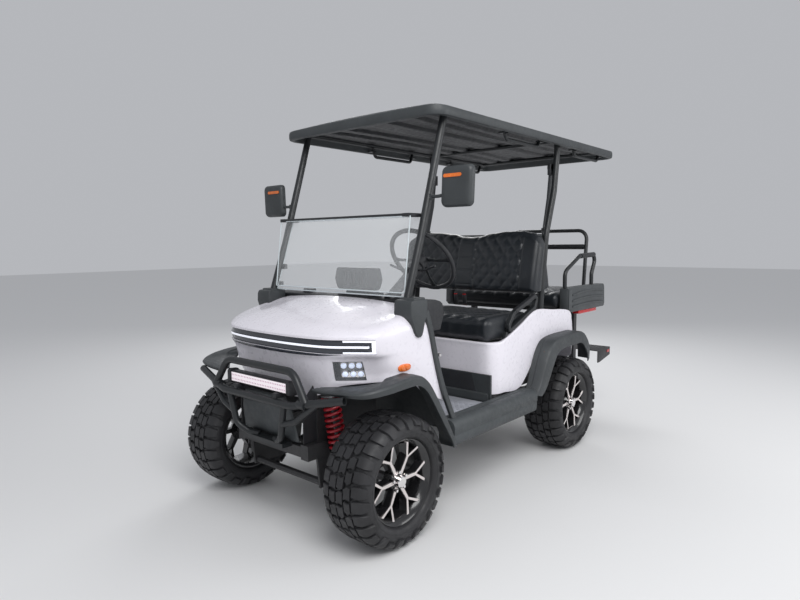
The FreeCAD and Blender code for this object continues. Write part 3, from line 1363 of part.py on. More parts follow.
def grab_rail():
    """Tall hoop behind the deck with a thick bar across it."""
    base = rear(s.deck_end) + s.grab_radius + s.seat_gap
    low, top = s.deck_bottom - 60, s.deck_bottom + s.rail_rise
    half = s.grab_width / 2
    rail = tube("grab_hoop", [
        (-half, base, low), (-half, base, low + 170), (-half, base + 50, top), (half, base + 50, top),
        (half, base, low + 170), (half, base, low),
    ], s.grab_radius, 70, sides=8)
    bar_y, bar_z = base + 37, top - 125
    bar = rod("grab_bar", (-half + 12, bar_y, bar_z), (half - 12, bar_y, bar_z), 20, sides=12)
    node("grab_rail", fuse("grab_rail_solid", rail, bar))


def rear_step():
    """Foot step with side plates and a lip, on a bracket at the rails' ends."""
    low = rear(s.rear_reach - s.step_depth)
    end = rear(s.rear_reach)
    half = s.step_width / 2
    top = box("step_top", (-half, low, s.step_height - 6), (half, end, s.step_height))
    sides = [
        box(f"step_side_{index}", (x, low, s.step_height - s.step_side), (x + 6, end, s.step_height))
        for index, x in enumerate((-half, half - 6))
    ]
    back = box("step_lip", (-half, end - 6, s.step_height - 50), (half, end, s.step_height))
    bracket = box("step_bracket", (-rail_x - 25, low, rail_bottom), (rail_x + 25, low + 8, s.step_height))
    node("rear_step", fuse("rear_step_solid", top, *sides, back, bracket))


def tail_lamps():
    """Flat red lamps under the side covers."""
    inner = s.deck_width / 2 + s.seat_gap
    both_sides(
        "tail_lamps",
        box(
            "tail_lamp", (inner, rear(350), s.deck_bottom - 24),
            (inner + 54, rear(650), s.deck_bottom - s.seat_gap)
        )
    )


def pedals():
    """Pads on stalks that stand off the toe board."""
    foot, top = Vector(0, front(380), s.floor_top + 16), Vector(0, front(266), s.floor_top + 221)
    slope = (top - foot).normalize()
    off = Vector(0, slope.z, -slope.y)
    turn = Rotation(Vector(1, 0, 0), slope, -off)
    pads = []
    for name, x, width in (("brake", 200.0, 90.0), ("drive", 350.0, 60.0)):
        seat = Vector(x, 0, 0) + foot + slope * 120 + off * s.seat_gap
        pad = box(f"{name}_pad", (0.0, 0.0, 0.0), (width, 110.0, 10.0))
        pad.Placement = Placement(seat + off * 55 - Vector(width / 2, 0, 0) - slope * 55, turn)
        stalk = rod(f"{name}_stalk", tuple(seat), tuple(seat + off * 48), 9, sides=8)
        pads.append(fuse(f"{name}_pedal", pad, stalk))
    node("pedals", *pads)


wheels()
knuckles()
tie_rod()
front_subframe()
front_suspension()
rear_axle()
leaf_springs()
chassis_frame()
floor_pan()
rockers()
front_cowl()
light_band()
headlamps()
flares()
seat_pod()
battery_pack()
dashboard()
pillar_feet()
canopy_frame()
roof()
windshield()
mirrors()
bull_bar()
light_bar()
steering()
front_seats()
seat_back_shell()
rear_seats()
arm_rests()
side_covers()
grab_rail()
rear_step()
tail_lamps()
pedals()

doc.recompute()
faults = [
    f"{feature.Label}: {feature.State}"
    for feature in doc.Objects
    if "Invalid" in feature.State or "Error" in feature.State
]
for feature in NODES:
    shape = feature.Shape
    if shape.isNull() or not shape.isValid() or not shape.Solids:
        faults.append(f"{feature.Label}: no valid solid")
if faults:
    raise RuntimeError("; ".join(faults))
for feature in NODES:
    feature.Shape.exportStep(f"parts/{feature.Label}.step")
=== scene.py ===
import bpy, bmesh, math
from mathutils import Matrix, Vector


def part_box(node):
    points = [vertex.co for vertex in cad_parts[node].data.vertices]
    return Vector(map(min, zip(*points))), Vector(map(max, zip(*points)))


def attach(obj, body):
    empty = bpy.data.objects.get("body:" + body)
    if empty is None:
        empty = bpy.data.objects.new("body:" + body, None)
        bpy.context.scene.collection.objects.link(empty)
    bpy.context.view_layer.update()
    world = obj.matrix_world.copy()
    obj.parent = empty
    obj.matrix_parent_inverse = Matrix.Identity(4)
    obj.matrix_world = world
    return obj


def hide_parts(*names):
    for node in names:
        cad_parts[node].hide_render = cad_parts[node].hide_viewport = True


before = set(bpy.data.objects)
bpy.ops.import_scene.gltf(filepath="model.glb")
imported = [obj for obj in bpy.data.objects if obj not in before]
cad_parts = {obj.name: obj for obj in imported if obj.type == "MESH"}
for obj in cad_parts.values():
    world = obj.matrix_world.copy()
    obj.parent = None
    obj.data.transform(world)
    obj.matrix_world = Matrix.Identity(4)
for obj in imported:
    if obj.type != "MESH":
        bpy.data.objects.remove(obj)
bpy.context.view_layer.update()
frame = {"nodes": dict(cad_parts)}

MM = 0.001

# Driving places, in millimetres, from the frame
FRONT = sum(corner.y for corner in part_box("tyre_front_left")) / 2 / MM
REAR = sum(corner.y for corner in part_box("tyre_rear_left")) / 2 / MM
WHEEL_X = sum(corner.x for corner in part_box("tyre_front_left")) / 2 / MM
AXLE_Z = sum(corner.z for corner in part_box("tyre_front_left")) / 2 / MM
# The seat pod's front
POD = REAR - 850

# Camera, read from the photograph: metres, radians, and millimetres for a 36 mm wide picture
CAMERA_PLACE = (2.292, -3.0995, 1.324)
CAMERA_AZIMUTH = 0.7143
CAMERA_PITCH = -0.093
CAMERA_ROLL = -0.008
CAMERA_LENS = 27.09


# Materials

# Where nearly all of the noise's values lie
NOISE_RANGE = (0.35, 0.65)


def shader(name):
    """A new material, its nodes, links and Principled shader."""
    material = bpy.data.materials.new(name)
    material.use_nodes = True
    nodes, links = material.node_tree.nodes, material.node_tree.links
    return material, nodes, links, nodes["Principled BSDF"]


def noise(nodes, links, scale, detail=4.0):
    """Noise in object space, whose lumps are 1 / scale metres across."""
    coords = nodes.new("ShaderNodeTexCoord")
    texture = nodes.new("ShaderNodeTexNoise")
    texture.inputs["Scale"].default_value = scale
    texture.inputs["Detail"].default_value = detail
    links.new(coords.outputs["Object"], texture.inputs["Vector"])
    return texture.outputs["Fac"]


def ranged(nodes, links, value, low, high):
    """A value spread from low to high while its source goes through the noise's middle range."""
    spread = nodes.new("ShaderNodeMapRange")
    for socket, number in zip(("From Min", "From Max", "To Min", "To Max"), (*NOISE_RANGE, low, high)):
        spread.inputs[socket].default_value = number
    links.new(value, spread.inputs["Value"])
    return spread.outputs["Result"]


def blended(nodes, links, factor, first, second):
    """A colour that goes from the first to the second with the factor."""
    mix = nodes.new("ShaderNodeMix")
    mix.data_type = "RGBA"
    mix.inputs["A"].default_value = (*first, 1)
    mix.inputs["B"].default_value = (*second, 1)
    links.new(factor, mix.inputs["Factor"])
    return mix.outputs["Result"]


def bumped(nodes, links, height, distance):
    """Normals bumped by a height, so many metres deep."""
    bump = nodes.new("ShaderNodeBump")
    bump.inputs["Distance"].default_value = distance
    bump.inputs["Strength"].default_value = 1.0
    links.new(height, bump.inputs["Height"])
    return bump.outputs["Normal"]


def finish_of(
    name, colour, roughness, metallic=0.0, grain=0.0, grain_scale=900.0, tint=0.12, coat=0.0, sheen=0.0
):
    """A moulded, painted or worn surface: patches of tone and gloss over a fine grain."""
    material, nodes, links, principled = shader(name)
    patches = ranged(nodes, links, noise(nodes, links, 7.0), 0, 1)
    darker = tuple(channel * (1 - tint) for channel in colour)
    lighter = tuple(min(1.0, channel * (1 + tint)) for channel in colour)
    links.new(blended(nodes, links, patches, darker, lighter), principled.inputs["Base Color"])
    streaks = noise(nodes, links, 45.0)
    gloss = ranged(nodes, links, streaks, roughness * 0.85, min(1.0, roughness * 1.15))
    links.new(gloss, principled.inputs["Roughness"])
    principled.inputs["Metallic"].default_value = metallic
    principled.inputs["Coat Weight"].default_value = coat
    principled.inputs["Sheen Weight"].default_value = sheen
    if grain:
        fine = noise(nodes, links, grain_scale, 2.0)
        links.new(bumped(nodes, links, fine, grain), principled.inputs["Normal"])
    return material


def glowing(name, colour, strength):
    """A face that glows: a lit lamp, or a painted highlight on the headlamp lenses."""
    material, nodes, links, principled = shader(name)
    links.new(
        blended(nodes, links, noise(nodes, links, 60.0), colour, colour), principled.inputs["Base Color"]
    )
    principled.inputs["Emission Color"].default_value = (*colour, 1)
    principled.inputs["Emission Strength"].default_value = strength
    principled.inputs["Roughness"].default_value = 0.25
    return material


def clear(name, colour, alpha):
    """A clear sheet: nearly see-through, with sharp reflections."""
    material, nodes, links, principled = shader(name)
    links.new(ranged(nodes, links, noise(nodes, links, 30.0), 0.03, 0.06), principled.inputs["Roughness"])
    principled.inputs["Base Color"].default_value = (*colour, 1)
    principled.inputs["Alpha"].default_value = alpha
    principled.inputs["Specular IOR Level"].default_value = 0.6
    return material


WHITE = finish_of("white_gloss", (0.81, 0.785, 0.845), 0.30, tint=0.02, coat=0.35)
TRIM = finish_of("charcoal_trim", (0.040, 0.045, 0.048), 0.48, grain=0.0002)
ROCKER = finish_of("grained_rocker", (0.055, 0.062, 0.066), 0.55, grain=0.0003)
TUBE = finish_of("powder_coat", (0.016, 0.018, 0.020), 0.40, grain=0.0001, grain_scale=1400.0)
CHASSIS = finish_of("chassis_paint", (0.028, 0.028, 0.030), 0.5, grain=0.0002)
SPRING = finish_of("red_spring", (0.30, 0.006, 0.014), 0.32, coat=0.4)
STEEL = finish_of("cast_steel", (0.16, 0.16, 0.165), 0.5, metallic=0.8, grain=0.0004, grain_scale=300.0)
RIM = finish_of("rim_black", (0.012, 0.012, 0.013), 0.22, coat=0.5)
# The machined faces' warm pink tint is a painted reflection of the floor.
MACHINED = finish_of("machined_face", (0.86, 0.80, 0.78), 0.16, metallic=1.0, tint=0.04)
CHROME = finish_of("chrome", (0.85, 0.83, 0.83), 0.08, metallic=1.0, tint=0.03)
RUBBER = finish_of("tyre_rubber", (0.018, 0.018, 0.020), 0.52, grain=0.0003, grain_scale=500.0, tint=0.3)
LEATHER = finish_of("seat_vinyl", (0.011, 0.014, 0.018), 0.34, grain=0.0004, grain_scale=650.0, sheen=0.06)
DASH = finish_of("grained_dash", (0.017, 0.018, 0.021), 0.5, grain=0.0003)
BAND = finish_of("band_gloss", (0.035, 0.040, 0.052), 0.2, coat=0.4)
GREY = finish_of("grey_cover", (0.060, 0.066, 0.070), 0.5, grain=0.0003)
MAT = finish_of("floor_mat", (0.36, 0.37, 0.41), 0.5, grain=0.0004)
PANE = clear("clear_pane", (0.93, 0.96, 0.97), 0.09)
EDGE = finish_of("pane_edge", (0.62, 0.68, 0.70), 0.15, tint=0.03)
# The headlamp lenses are not lit: their glow is a painted highlight that stands in for the glass's
# reflections.
LENS_GLINT = glowing("lens_painted_glint", (0.74, 0.82, 1.0), 0.5)
LENS = clear("lamp_lens", (0.86, 0.90, 0.96), 0.12)
RED = finish_of("red_lens", (0.45, 0.01, 0.012), 0.2, coat=0.6)
AMBER = finish_of("amber_lens", (0.75, 0.16, 0.015), 0.25, coat=0.6)
LED = glowing("led_white", (0.90, 0.92, 1.0), 0.45)
FACE = glowing("lamp_face", (0.88, 0.80, 0.84), 0.34)
DOT = glowing("lamp_dots", (0.50, 0.40, 0.45), 0.5)


# Mesh helpers, in millimetres


def piece(name, points, faces, material, body="chassis", slot=None, tint=None, smooth=35):
    """A mesh object that rides on a body. tint gives each face's material where there are several."""
    mesh = bpy.data.meshes.new(name)
    mesh.from_pydata([tuple(c * MM for c in point) for point in points], [], faces)
    made = bpy.data.objects.new(name, mesh)
    bpy.context.scene.collection.objects.link(made)
    for one in material if isinstance(material, (list, tuple)) else [material]:
        mesh.materials.append(one)
    if tint:
        mesh.polygons.foreach_set("material_index", tint)
    tidy = bmesh.new()
    tidy.from_mesh(mesh)
    bmesh.ops.remove_doubles(tidy, verts=tidy.verts, dist=1e-5)
    bmesh.ops.recalc_face_normals(tidy, faces=tidy.faces)
    tidy.to_mesh(mesh)
    tidy.free()
    soften(made, smooth)
    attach(made, body)
    return made


def soften(made, angle):
    """Smooth shading, with edges sharper than the angle kept."""
    mesh = made.data
    mesh.shade_smooth()
    mesh.set_sharp_from_angle(angle=math.radians(angle))


def settle(made):
    """Applies an object's modifiers to its mesh."""
    graph = bpy.context.evaluated_depsgraph_get()
    mesh = bpy.data.meshes.new_from_object(made.evaluated_get(graph))
    made.modifiers.clear()
    made.data = mesh
    return made


def bevelled(made, width, segments, angle):
    """Breaks the edges sharper than the angle, so many millimetres wide."""
    bevel = made.modifiers.new("bevel", "BEVEL")
    bevel.width = width * MM
    bevel.segments = segments
    bevel.limit_method = "ANGLE"
    bevel.angle_limit = math.radians(angle)
    bevel.harden_normals = False
    settle(made)
    soften(made, 50)
    return made


def walled(made, thickness):
    """Gives a sheet its wall, on its inner side."""
    wall = made.modifiers.new("wall", "SOLIDIFY")
    wall.thickness = thickness * MM
    wall.offset = -1
    return settle(made)


def between(a, b, t):
    """The value a share t of the way from a to b."""
    return a + (b - a) * t


def curve_at(points, t):
    """A smooth curve through evenly spaced points, at t from 0 to the last point's index."""
    last = len(points) - 1
    i = min(int(t), last - 1)
    u = t - i
    p1, p2 = points[i], points[i + 1]
    p0 = points[i - 1] if i > 0 else 2 * p1 - p2
    p3 = points[i + 2] if i + 2 <= last else 2 * p2 - p1
    square, cube = (2 * p0 - 5 * p1 + 4 * p2 - p3) * u * u, (3 * p1 - p0 - 3 * p2 + p3) * u ** 3
    return 0.5 * (2 * p1 + (p2 - p0) * u + square + cube)


def curve(points, steps):
    """Samples of the smooth curve, steps to each span."""
    points = [Vector(p) for p in points]
    return [curve_at(points, k / steps) for k in range((len(points) - 1) * steps + 1)]


def sheet_grid(table, across, along):
    """A smooth surface through a table of points, with so many steps to each span."""
    rows = [curve(row, across) for row in table]
    columns = [curve([row[k] for row in rows], along) for k in range(len(rows[0]))]
    return [[column[v] for column in columns] for v in range(len(columns[0]))]


def grid_faces(rows, columns, start=0, wrap=False):
    """Four-sided faces of a grid whose points run row by row; wrap closes each row."""
    faces = []
    for v in range(rows - 1):
        for u in range(columns if wrap else columns - 1):
            a, b = v * columns + u, v * columns + (u + 1) % columns
            faces.append((start + a, start + b, start + b + columns, start + a + columns))
    return faces


def skin(rows, wrap=False, first=False, last=False):
    """Points and faces through rows of points, with the first or the last row closed off if asked."""
    n = len(rows[0])
    points = [p for row in rows for p in row]
    faces = grid_faces(len(rows), n, wrap=wrap)
    if first:
        faces.append(tuple(range(n)))
    if last:
        faces.append(tuple(range(len(points) - n, len(points))))
    return points, faces


def behind(axle, places):
    """Places given as (y, z) or (x, y, z), whose y is counted to the rear from an axle."""
    return [(axle + p[0], p[1]) if len(p) == 2 else (p[0], axle + p[1], p[2]) for p in places]


def flipped_x(point):
    """The point on the cart's other side."""
    return Vector((-point[0], point[1], point[2]))


def mirrored_grid(grid):
    """A half surface whose first column is on the middle plane, as the whole one."""
    return [[flipped_x(p) for p in reversed(row[1:])] + row for row in grid]


def arc_path(points, radius, steps=6):
    """The points with each inner corner rounded to the radius."""
    points = [Vector(p) for p in points]
    made = [points[0]]
    for before, corner, after in zip(points, points[1:], points[2:]):
        back, onward = (before - corner).normalized(), (after - corner).normalized()
        half = back.angle(onward) / 2
        if half > math.pi / 2 - 0.01:
            made.append(corner)
            continue
        room = 0.48 * min((before - corner).length, (after - corner).length)
        trim = min(radius / math.tan(half), room)
        bend = trim * math.tan(half)
        middle = corner + (back + onward).normalized() * (bend / math.sin(half))
        first, last = corner + back * trim - middle, corner + onward * trim - middle
        for k in range(steps + 1):
            made.append(middle + first.slerp(last, k / steps).normalized() * bend)
    made.append(points[-1])
    return made


def swept(line, section):
    """Points and faces of a section carried along a line without twist, capped at its ends."""
    line = [Vector(p) for p in line]
    points, side = [], None
    for k, place in enumerate(line):
        run = (line[min(k + 1, len(line) - 1)] - line[max(k - 1, 0)]).normalized()
        if side is None:
            side = (run.orthogonal() if abs(run.x) > 0.9 else run.cross(Vector((1, 0, 0)))).normalized()
        side = (side - run * side.dot(run)).normalized()
        other = run.cross(side)
        points += [place + side * u + other * v for u, v in section]
    n = len(section)
    caps = [tuple(reversed(range(n))), tuple(range(len(points) - n, len(points)))]
    return points, grid_faces(len(line), n, wrap=True) + caps


def circle(radius, count=20):
    """A circle's points in its own plane."""
    angles = [2 * math.pi * k / count for k in range(count)]
    return [(radius * math.cos(a), radius * math.sin(a)) for a in angles]


def combined(parts):
    """Several (points, faces) as one."""
    points, faces = [], []
    for some, their in parts:
        faces += [tuple(i + len(points) for i in face) for face in their]
        points += list(some)
    return points, faces


def rounded(low, high, radius, steps, slant=0):
    """A rectangle's outline with corner arcs; slant draws two opposite corners in."""
    (u0, v0), (u1, v1) = low, high
    centres = (
        (u1 - radius, v1 - radius), (u0 + radius + slant, v1 - radius), (u0 + radius, v0 + radius),
        (u1 - radius - slant, v0 + radius),
    )
    made = []
    for quarter, (u, v) in enumerate(centres):
        for k in range(steps + 1):
            a = math.radians(90 * quarter + 90 * k / steps)
            made.append((u + radius * math.cos(a), v + radius * math.sin(a)))
    return made


def pipe(line, radius, bend=60.0):
    """A round bar along a line whose corners are bent to a radius."""
    return swept(arc_path(line, bend), circle(radius))


def block(low, high, turn=None, middle=None):
    """A box's points and faces, turned about its middle if a matrix is given."""
    (x0, y0, z0), (x1, y1, z1) = low, high
    points = [Vector((x, y, z)) for z in (z0, z1) for x, y in ((x0, y0), (x1, y0), (x1, y1), (x0, y1))]
    if turn:
        middle = middle or (Vector(low) + Vector(high)) / 2
        points = [middle + turn @ (p - middle) for p in points]
    return points, [(3, 2, 1, 0), (4, 5, 6, 7), (0, 1, 5, 4), (1, 2, 6, 5), (2, 3, 7, 6), (3, 0, 4, 7)]


def prism(corners, axis, low, high):
    """An outline of (u, v) run along an axis: x takes (y, z), y takes (x, z), z takes (x, y)."""
    order = {
        "x": lambda u, v, w: (w, u, v),
        "y": lambda u, v, w: (u, w, v),
        "z": lambda u, v, w: (u, v, w),
    }[axis]
    points = [Vector(order(u, v, w)) for w in (low, high) for u, v in corners]
    n = len(corners)
    faces = [tuple(reversed(range(n))), tuple(range(n, 2 * n))]
    return points, faces + [(k, (k + 1) % n, n + (k + 1) % n, n + k) for k in range(n)]


def turned_round(profile, count, centre=(0, 0, 0), axis="x"):
    """A profile of (along the axis, radius) turned about it."""
    rows = []
    for along, radius in profile:
        row = []
        for c, s in circle(1.0, count):
            c, s = c * radius, s * radius
            at = {"x": (along, c, s), "y": (c, along, s), "z": (c, s, along)}[axis]
            row.append(Vector(centre) + Vector(at))
        rows.append(row)
    return skin(rows, wrap=True)


def aimed(parts, place, direction):
    """Parts made along x, moved to a place and turned to look in a direction."""
    turn = Vector((1, 0, 0)).rotation_difference(direction).to_matrix()
    points, faces = parts
    return [place + turn @ p for p in points], faces


def mirrored(parts):
    """The parts' copy on the cart's other side."""
    points, faces = parts
    return [flipped_x(p) for p in points], [tuple(reversed(f)) for f in faces]


def both(parts):
    """The parts and their copy on the cart's other side."""
    return combined([parts, mirrored(parts)])


# Wheels

LUG_DEPTH = 13.0
# Lengths round the tread become angles at this radius
TREAD_RADIUS = 285.0
SPOKES = 6
# Casing section from the tread's middle to the bead: out along the axle, radius
CASING = [
    (0, 279), (40, 278.5), (80, 276), (103, 268), (116, 250), (121.5, 232), (120, 212), (111, 197), (97, 191)
]
CASING_LINE = curve([(x, r, 0) for x, r in CASING], 5)
# Steps of the tread's pattern round the tyre
PITCHES = 29


def casing_at(t):
    """Place and outward slope of the casing, t millimetres along its section from the middle."""
    side = -1 if t < 0 else 1
    t = abs(t)
    for a, b in zip(CASING_LINE, CASING_LINE[1:]):
        step = (b - a).length
        if t <= step or b is CASING_LINE[-1]:
            run = (b - a).normalized()
            at = a + run * t
            return side * at.x, at.y, side * -run.y, run.x
        t -= step


def lug(stations, height, angle):
    """A tread block: stations of (t across, start and end round the tread), as a tapered loft."""
    points, faces = [], []
    for t, start, end in stations:
        x, r, nx, nr = casing_at(t)
        for raise_by, shrink in ((-2.0, -2.5), (height - 1.6, 0.0), (height, 1.6)):
            for s in (start + shrink, end - shrink):
                a = angle + s / TREAD_RADIUS
                radius = r + nr * raise_by
                points.append(Vector((x + nx * raise_by, math.cos(a) * radius, math.sin(a) * radius)))
    for k in range(len(stations) - 1):
        a, b = 6 * k, 6 * k + 6
        for lower, upper in ((0, 2), (2, 4)):
            faces.append((a + lower, b + lower, b + upper, a + upper))
            faces.append((a + lower + 1, a + upper + 1, b + upper + 1, b + lower + 1))
        faces.append((a + 4, b + 4, b + 5, a + 5))
    for k in (0, 6 * (len(stations) - 1)):
        faces.append((k, k + 1, k + 3, k + 2))
        faces.append((k + 2, k + 3, k + 5, k + 4))
    return points, faces


def tyre_parts():
    """Casing turned about the axle, two shoulder rows of stepped lugs and three inner rows."""
    profile = [(p.x, p.y) for p in CASING_LINE]
    whole = [(-x, r) for x, r in reversed(profile[1:])] + profile
    whole += [(88, 184), (60, 178), (-60, 178), (-88, 184)]
    casing = turned_round(whole + whole[:1], 116)
    pitch = 2 * math.pi / PITCHES
    lugs = []
    for k in range(PITCHES):
        # outer, inner and middle blocks as (across, start, end); every other pitch is the long one
        outer = [(66, 2, 44), (84, -2, 46), (100, -3, 47), (114, 0, 44)]
        if k % 2 == 0:
            outer.append((142, 8, 40))
            inner = [(26, -6, 36), (42, -2, 46), (58, -6, 34)]
            middle = [(-18, 4, 50), (-2, -6, 42), (17, 0, 48)]
        else:
            outer.append((128, 2, 40))
            inner = [(24, 2, 46), (40, -8, 40), (59, -2, 44)]
            middle = [(-17, -4, 44), (2, 2, 52), (18, -6, 40)]
        for side in (-1, 1):
            a = pitch * (k + (0.5 if side > 0 else 0))
            lugs.append(lug([(side * t, s0, s1) for t, s0, s1 in outer], LUG_DEPTH - 1, a))
            lugs.append(lug([(side * t, s0, s1) for t, s0, s1 in inner], LUG_DEPTH, a + pitch * 0.28))
        lugs.append(lug(middle, LUG_DEPTH, pitch * (k + 0.15)))
    rib = [(119.5, 222), (122.3, 220), (122.3, 216), (119, 214)]
    ribs = [turned_round([(s * x, r) for x, r in rib], 96) for s in (-1, 1)]
    return combined([casing, *lugs, *ribs])


def rim_parts():
    """Black barrel and spokes, the spokes' machined faces, and the cap with its nuts."""
    face = 72.0
    barrel = [
        (-98, 186), (-98, 191), (-92, 191), (-84, 174), (-40, 168), (60, 166), (84, 174), (92, 191),
        (98, 191), (99, 188.5), (98, 186), (88, 178), (80, 168), (60, 160), (-40, 162), (-86, 168),
        (-98, 186),
    ]
    hub = [(30, 0), (30, 60), (52, 52), (66, 44), (face - 6, 40), (face - 2, 0)]
    black = [turned_round(barrel, 96), turned_round(hub, 48)]
    bright = []
    for k in range(SPOKES):
        angle = 2 * math.pi * (k + 0.5) / SPOKES
        for corners in spoke_outlines():
            bright.append(spoke_face(corners, angle, face))
            black.append(spoke_body(corners, angle, face))
    cap = turned_round([(face - 8, 27), (face + 20, 26), (face + 24, 22), (face + 25, 0)], 32)
    nut = [(face - 16, 9.5), (face + 4, 9.0), (face + 12, 6.5), (face + 14, 0)]
    nuts, count, ring = [], 5, 42
    for k in range(count):
        a = 2 * math.pi * k / count + 0.4
        nuts.append(turned_round(nut, 12, (0, ring * math.cos(a), ring * math.sin(a))))
    return combined(black), combined(bright), combined([cap, *nuts])


def spoke_outlines():
    """A forked spoke as three bars in its own plane: (across, out from the axle)."""
    fork, lip = 118.0, 172.0
    made = [[(-9, 30), (9, 30), (6.5, fork), (-6.5, fork)]]
    for side in (-1, 1):
        tip = side * 44.0
        made.append([
            (side * -3.5, fork - 6), (side * 6.5, fork - 9), (tip + side * 5, lip - 6),
            (tip - side * 4, lip + 2),
        ])
    return made


def spoke_point(across, out, angle, x):
    """A place on a spoke that stands at an angle round the axle."""
    c, s = math.cos(angle), math.sin(angle)
    return Vector((x, across * c - out * s, across * s + out * c))


def spoke_rise(out, face):
    """The spokes' faces dish in towards the hub and rise to the lip."""
    return face + 12.0 * max(0.0, (out - 60.0) / 112.0) ** 1.5


def spoke_face(corners, angle, face):
    """A bar's machined face, as a thin plate."""
    low = [spoke_point(u, v, angle, spoke_rise(v, face) - 3) for u, v in corners]
    high = [spoke_point(u * 0.97, v, angle, spoke_rise(v, face)) for u, v in corners]
    n = len(corners)
    return low + high, [tuple(range(n, 2 * n))] + [(k, (k + 1) % n, n + (k + 1) % n, n + k) for k in range(n)]


def spoke_body(corners, angle, face):
    """A bar's black body, wider than its face and tapered to the back."""
    middle = sum(u for u, _ in corners) / len(corners)
    rows = []
    for depth, grow in ((3.0, 2.5), (30.0, 6.0), (44.0, 4.0)):
        rows.append([
            spoke_point(u + math.copysign(grow, u - middle), v, angle, spoke_rise(v, face) - depth)
            for u, v in corners
        ])
    return skin(rows, wrap=True, first=True, last=True)


def make_wheels():
    """Four tyres and rims, each riding on its own wheel."""
    tyre = tyre_parts()
    black, bright, chrome = rim_parts()
    for end, y in (("front", FRONT), ("rear", REAR)):
        for side, sign in (("left", 1), ("right", -1)):
            body = f"wheel_{end}_{side}"

            def set_at(parts):
                """The parts at this wheel's centre, with their outer face outwards."""
                points, faces = parts if sign > 0 else mirrored(parts)
                return [p + Vector((sign * WHEEL_X, y, AXLE_Z)) for p in points], faces

            made = piece(f"tyre_{end}_{side}_tread", *set_at(tyre), RUBBER, body, "tyre_rubber")
            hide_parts(f"tyre_{end}_{side}")
            made = piece(f"rim_{end}_{side}_barrel", *set_at(black), RIM, body, "rim_black", smooth=40)
            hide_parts(f"rim_{end}_{side}")
            piece(f"rim_{end}_{side}_faces", *set_at(bright), MACHINED, body, "rim_black")
            piece(f"rim_{end}_{side}_cap", *set_at(chrome), CHROME, body, "rim_black")


# White body

# Cowl sections from hem to hood: for each, points from the middle round to the strip,
# as (x, behind the front axle, height)
COWL = [
    [
        (0, -148, 612), (150, -140, 618), (290, -132, 655), (362, -108, 694), (458, -25, 708),
        (520, 25, 716), (548, 75, 726), (558, 130, 734), (562, 230, 640), (564, 400, 560),
    ],
    [
        (0, -176, 722), (150, -168, 722), (290, -158, 722), (360, -128, 722), (460, -32, 722),
        (521, 20, 733), (549, 70, 748), (558, 130, 764), (563, 240, 730), (565, 372, 660),
    ],
    [
        (0, -202, 812), (150, -196, 812), (290, -174, 812), (364, -150, 812), (462, -62, 812),
        (524, -8, 814), (550, 50, 820), (559, 130, 828), (563, 240, 815), (565, 338, 765),
    ],
    [
        (0, -216, 847), (150, -211, 847), (290, -192, 847), (372, -164, 847), (464, -96, 847),
        (528, -40, 847), (552, 35, 851), (559, 130, 857), (563, 235, 854), (565, 318, 819),
    ],
    [
        (0, -220, 911), (150, -215, 911), (290, -197, 911), (376, -168, 911), (466, -102, 911),
        (528, -46, 911), (552, 34, 914), (559, 132, 917), (562, 234, 917), (564, 300, 899),
    ],
    [
        (0, -208, 930), (150, -203, 930), (290, -184, 931), (370, -156, 933), (456, -92, 936),
        (514, -36, 940), (541, 34, 948), (551, 130, 956), (555, 226, 962), (557, 280, 955),
    ],
    [
        (0, -130, 972), (140, -124, 972), (272, -106, 970), (350, -82, 966), (424, -40, 964), (476, 6, 968),
        (506, 62, 978), (520, 136, 990), (526, 210, 1000), (528, 262, 1004),
    ],
    [
        (0, 60, 1022), (125, 64, 1020), (240, 74, 1016), (316, 88, 1008), (380, 108, 1000), (428, 130, 998),
        (458, 154, 1002), (474, 184, 1010), (484, 220, 1018), (488, 258, 1022),
    ],
    [
        (0, 262, 1052), (110, 262, 1051), (215, 262, 1048), (290, 262, 1044), (350, 262, 1040),
        (394, 262, 1036), (424, 262, 1034), (446, 262, 1031), (460, 262, 1028), (470, 262, 1026),
    ],
]
# Thickness of the shell's wall
COWL_WALL = 6


def make_cowl():
    """The cowl's shell, left open where the light band and the headlamps sit."""
    across, along = 6, 6
    grid = mirrored_grid(sheet_grid([behind(FRONT, row) for row in COWL], across, along))
    rows, columns = len(grid), len(grid[0])
    middle = (columns - 1) // 2
    # open cells between sections: first and last row, first and last column of the table
    holes = [(3, 4, 0, 5), (1, 2, 3, 4)]
    faces = []
    for v in range(rows - 1):
        for u in range(columns - 1):
            out = u - middle if u >= middle else middle - 1 - u
            row, column = v // along, out // across
            if any(r0 <= row < r1 and c0 <= column < c1 for r0, r1, c0, c1 in holes):
                continue
            a = v * columns + u
            faces.append((a, a + 1, a + 1 + columns, a + columns))
    points = [p for row in grid for p in row]
    cowl = piece("cowl_shell", points, faces, WHITE, slot="white_body", smooth=40)
    soften(walled(cowl, COWL_WALL), 40)
    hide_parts("front_cowl")


# Pod sections from hem to rim: from the front's middle round the side to the back's middle
POD_PLAN = [
    (0, -850), (360, -850), (500, -848), (552, -806), (565, -740), (565, -560), (565, -376), (565, -150),
    (565, 60), (558, 120), (520, 156), (300, 158), (0, 158)
]
POD_HEM = [492, 492, 492, 492, 492, 492, 640, 720, 700, 640, 560, 560, 560]
POD_RIM = [778, 778, 778, 778, 786, 848, 919, 906, 884, 832, 770, 765, 765]
# Thickness of the shell's wall
POD_WALL = 5


def make_pod():
    """The seat pod's shell: five levels from hem to rim, then a lip turned in."""
    table = []
    for share, swell in ((0.0, 0), (0.3, 3), (0.62, 4), (0.9, 0), (1.0, -4)):
        row = []
        for (x, f), low, high in zip(POD_PLAN, POD_HEM, POD_RIM):
            push = swell - 3 if x > 500 else 0
            row.append((x + push if x else 0, REAR + f, between(low, high, share)))
        table.append(row)
    table.append([(x * 0.94, REAR + f * 0.96, high - 1) for (x, f), high in zip(POD_PLAN, POD_RIM)])
    grid = mirrored_grid(sheet_grid(table, 6, 5))
    pod = piece("pod_shell", *skin(grid), WHITE, slot="white_body", smooth=40)
    soften(walled(pod, POD_WALL), 40)
    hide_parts("seat_pod")


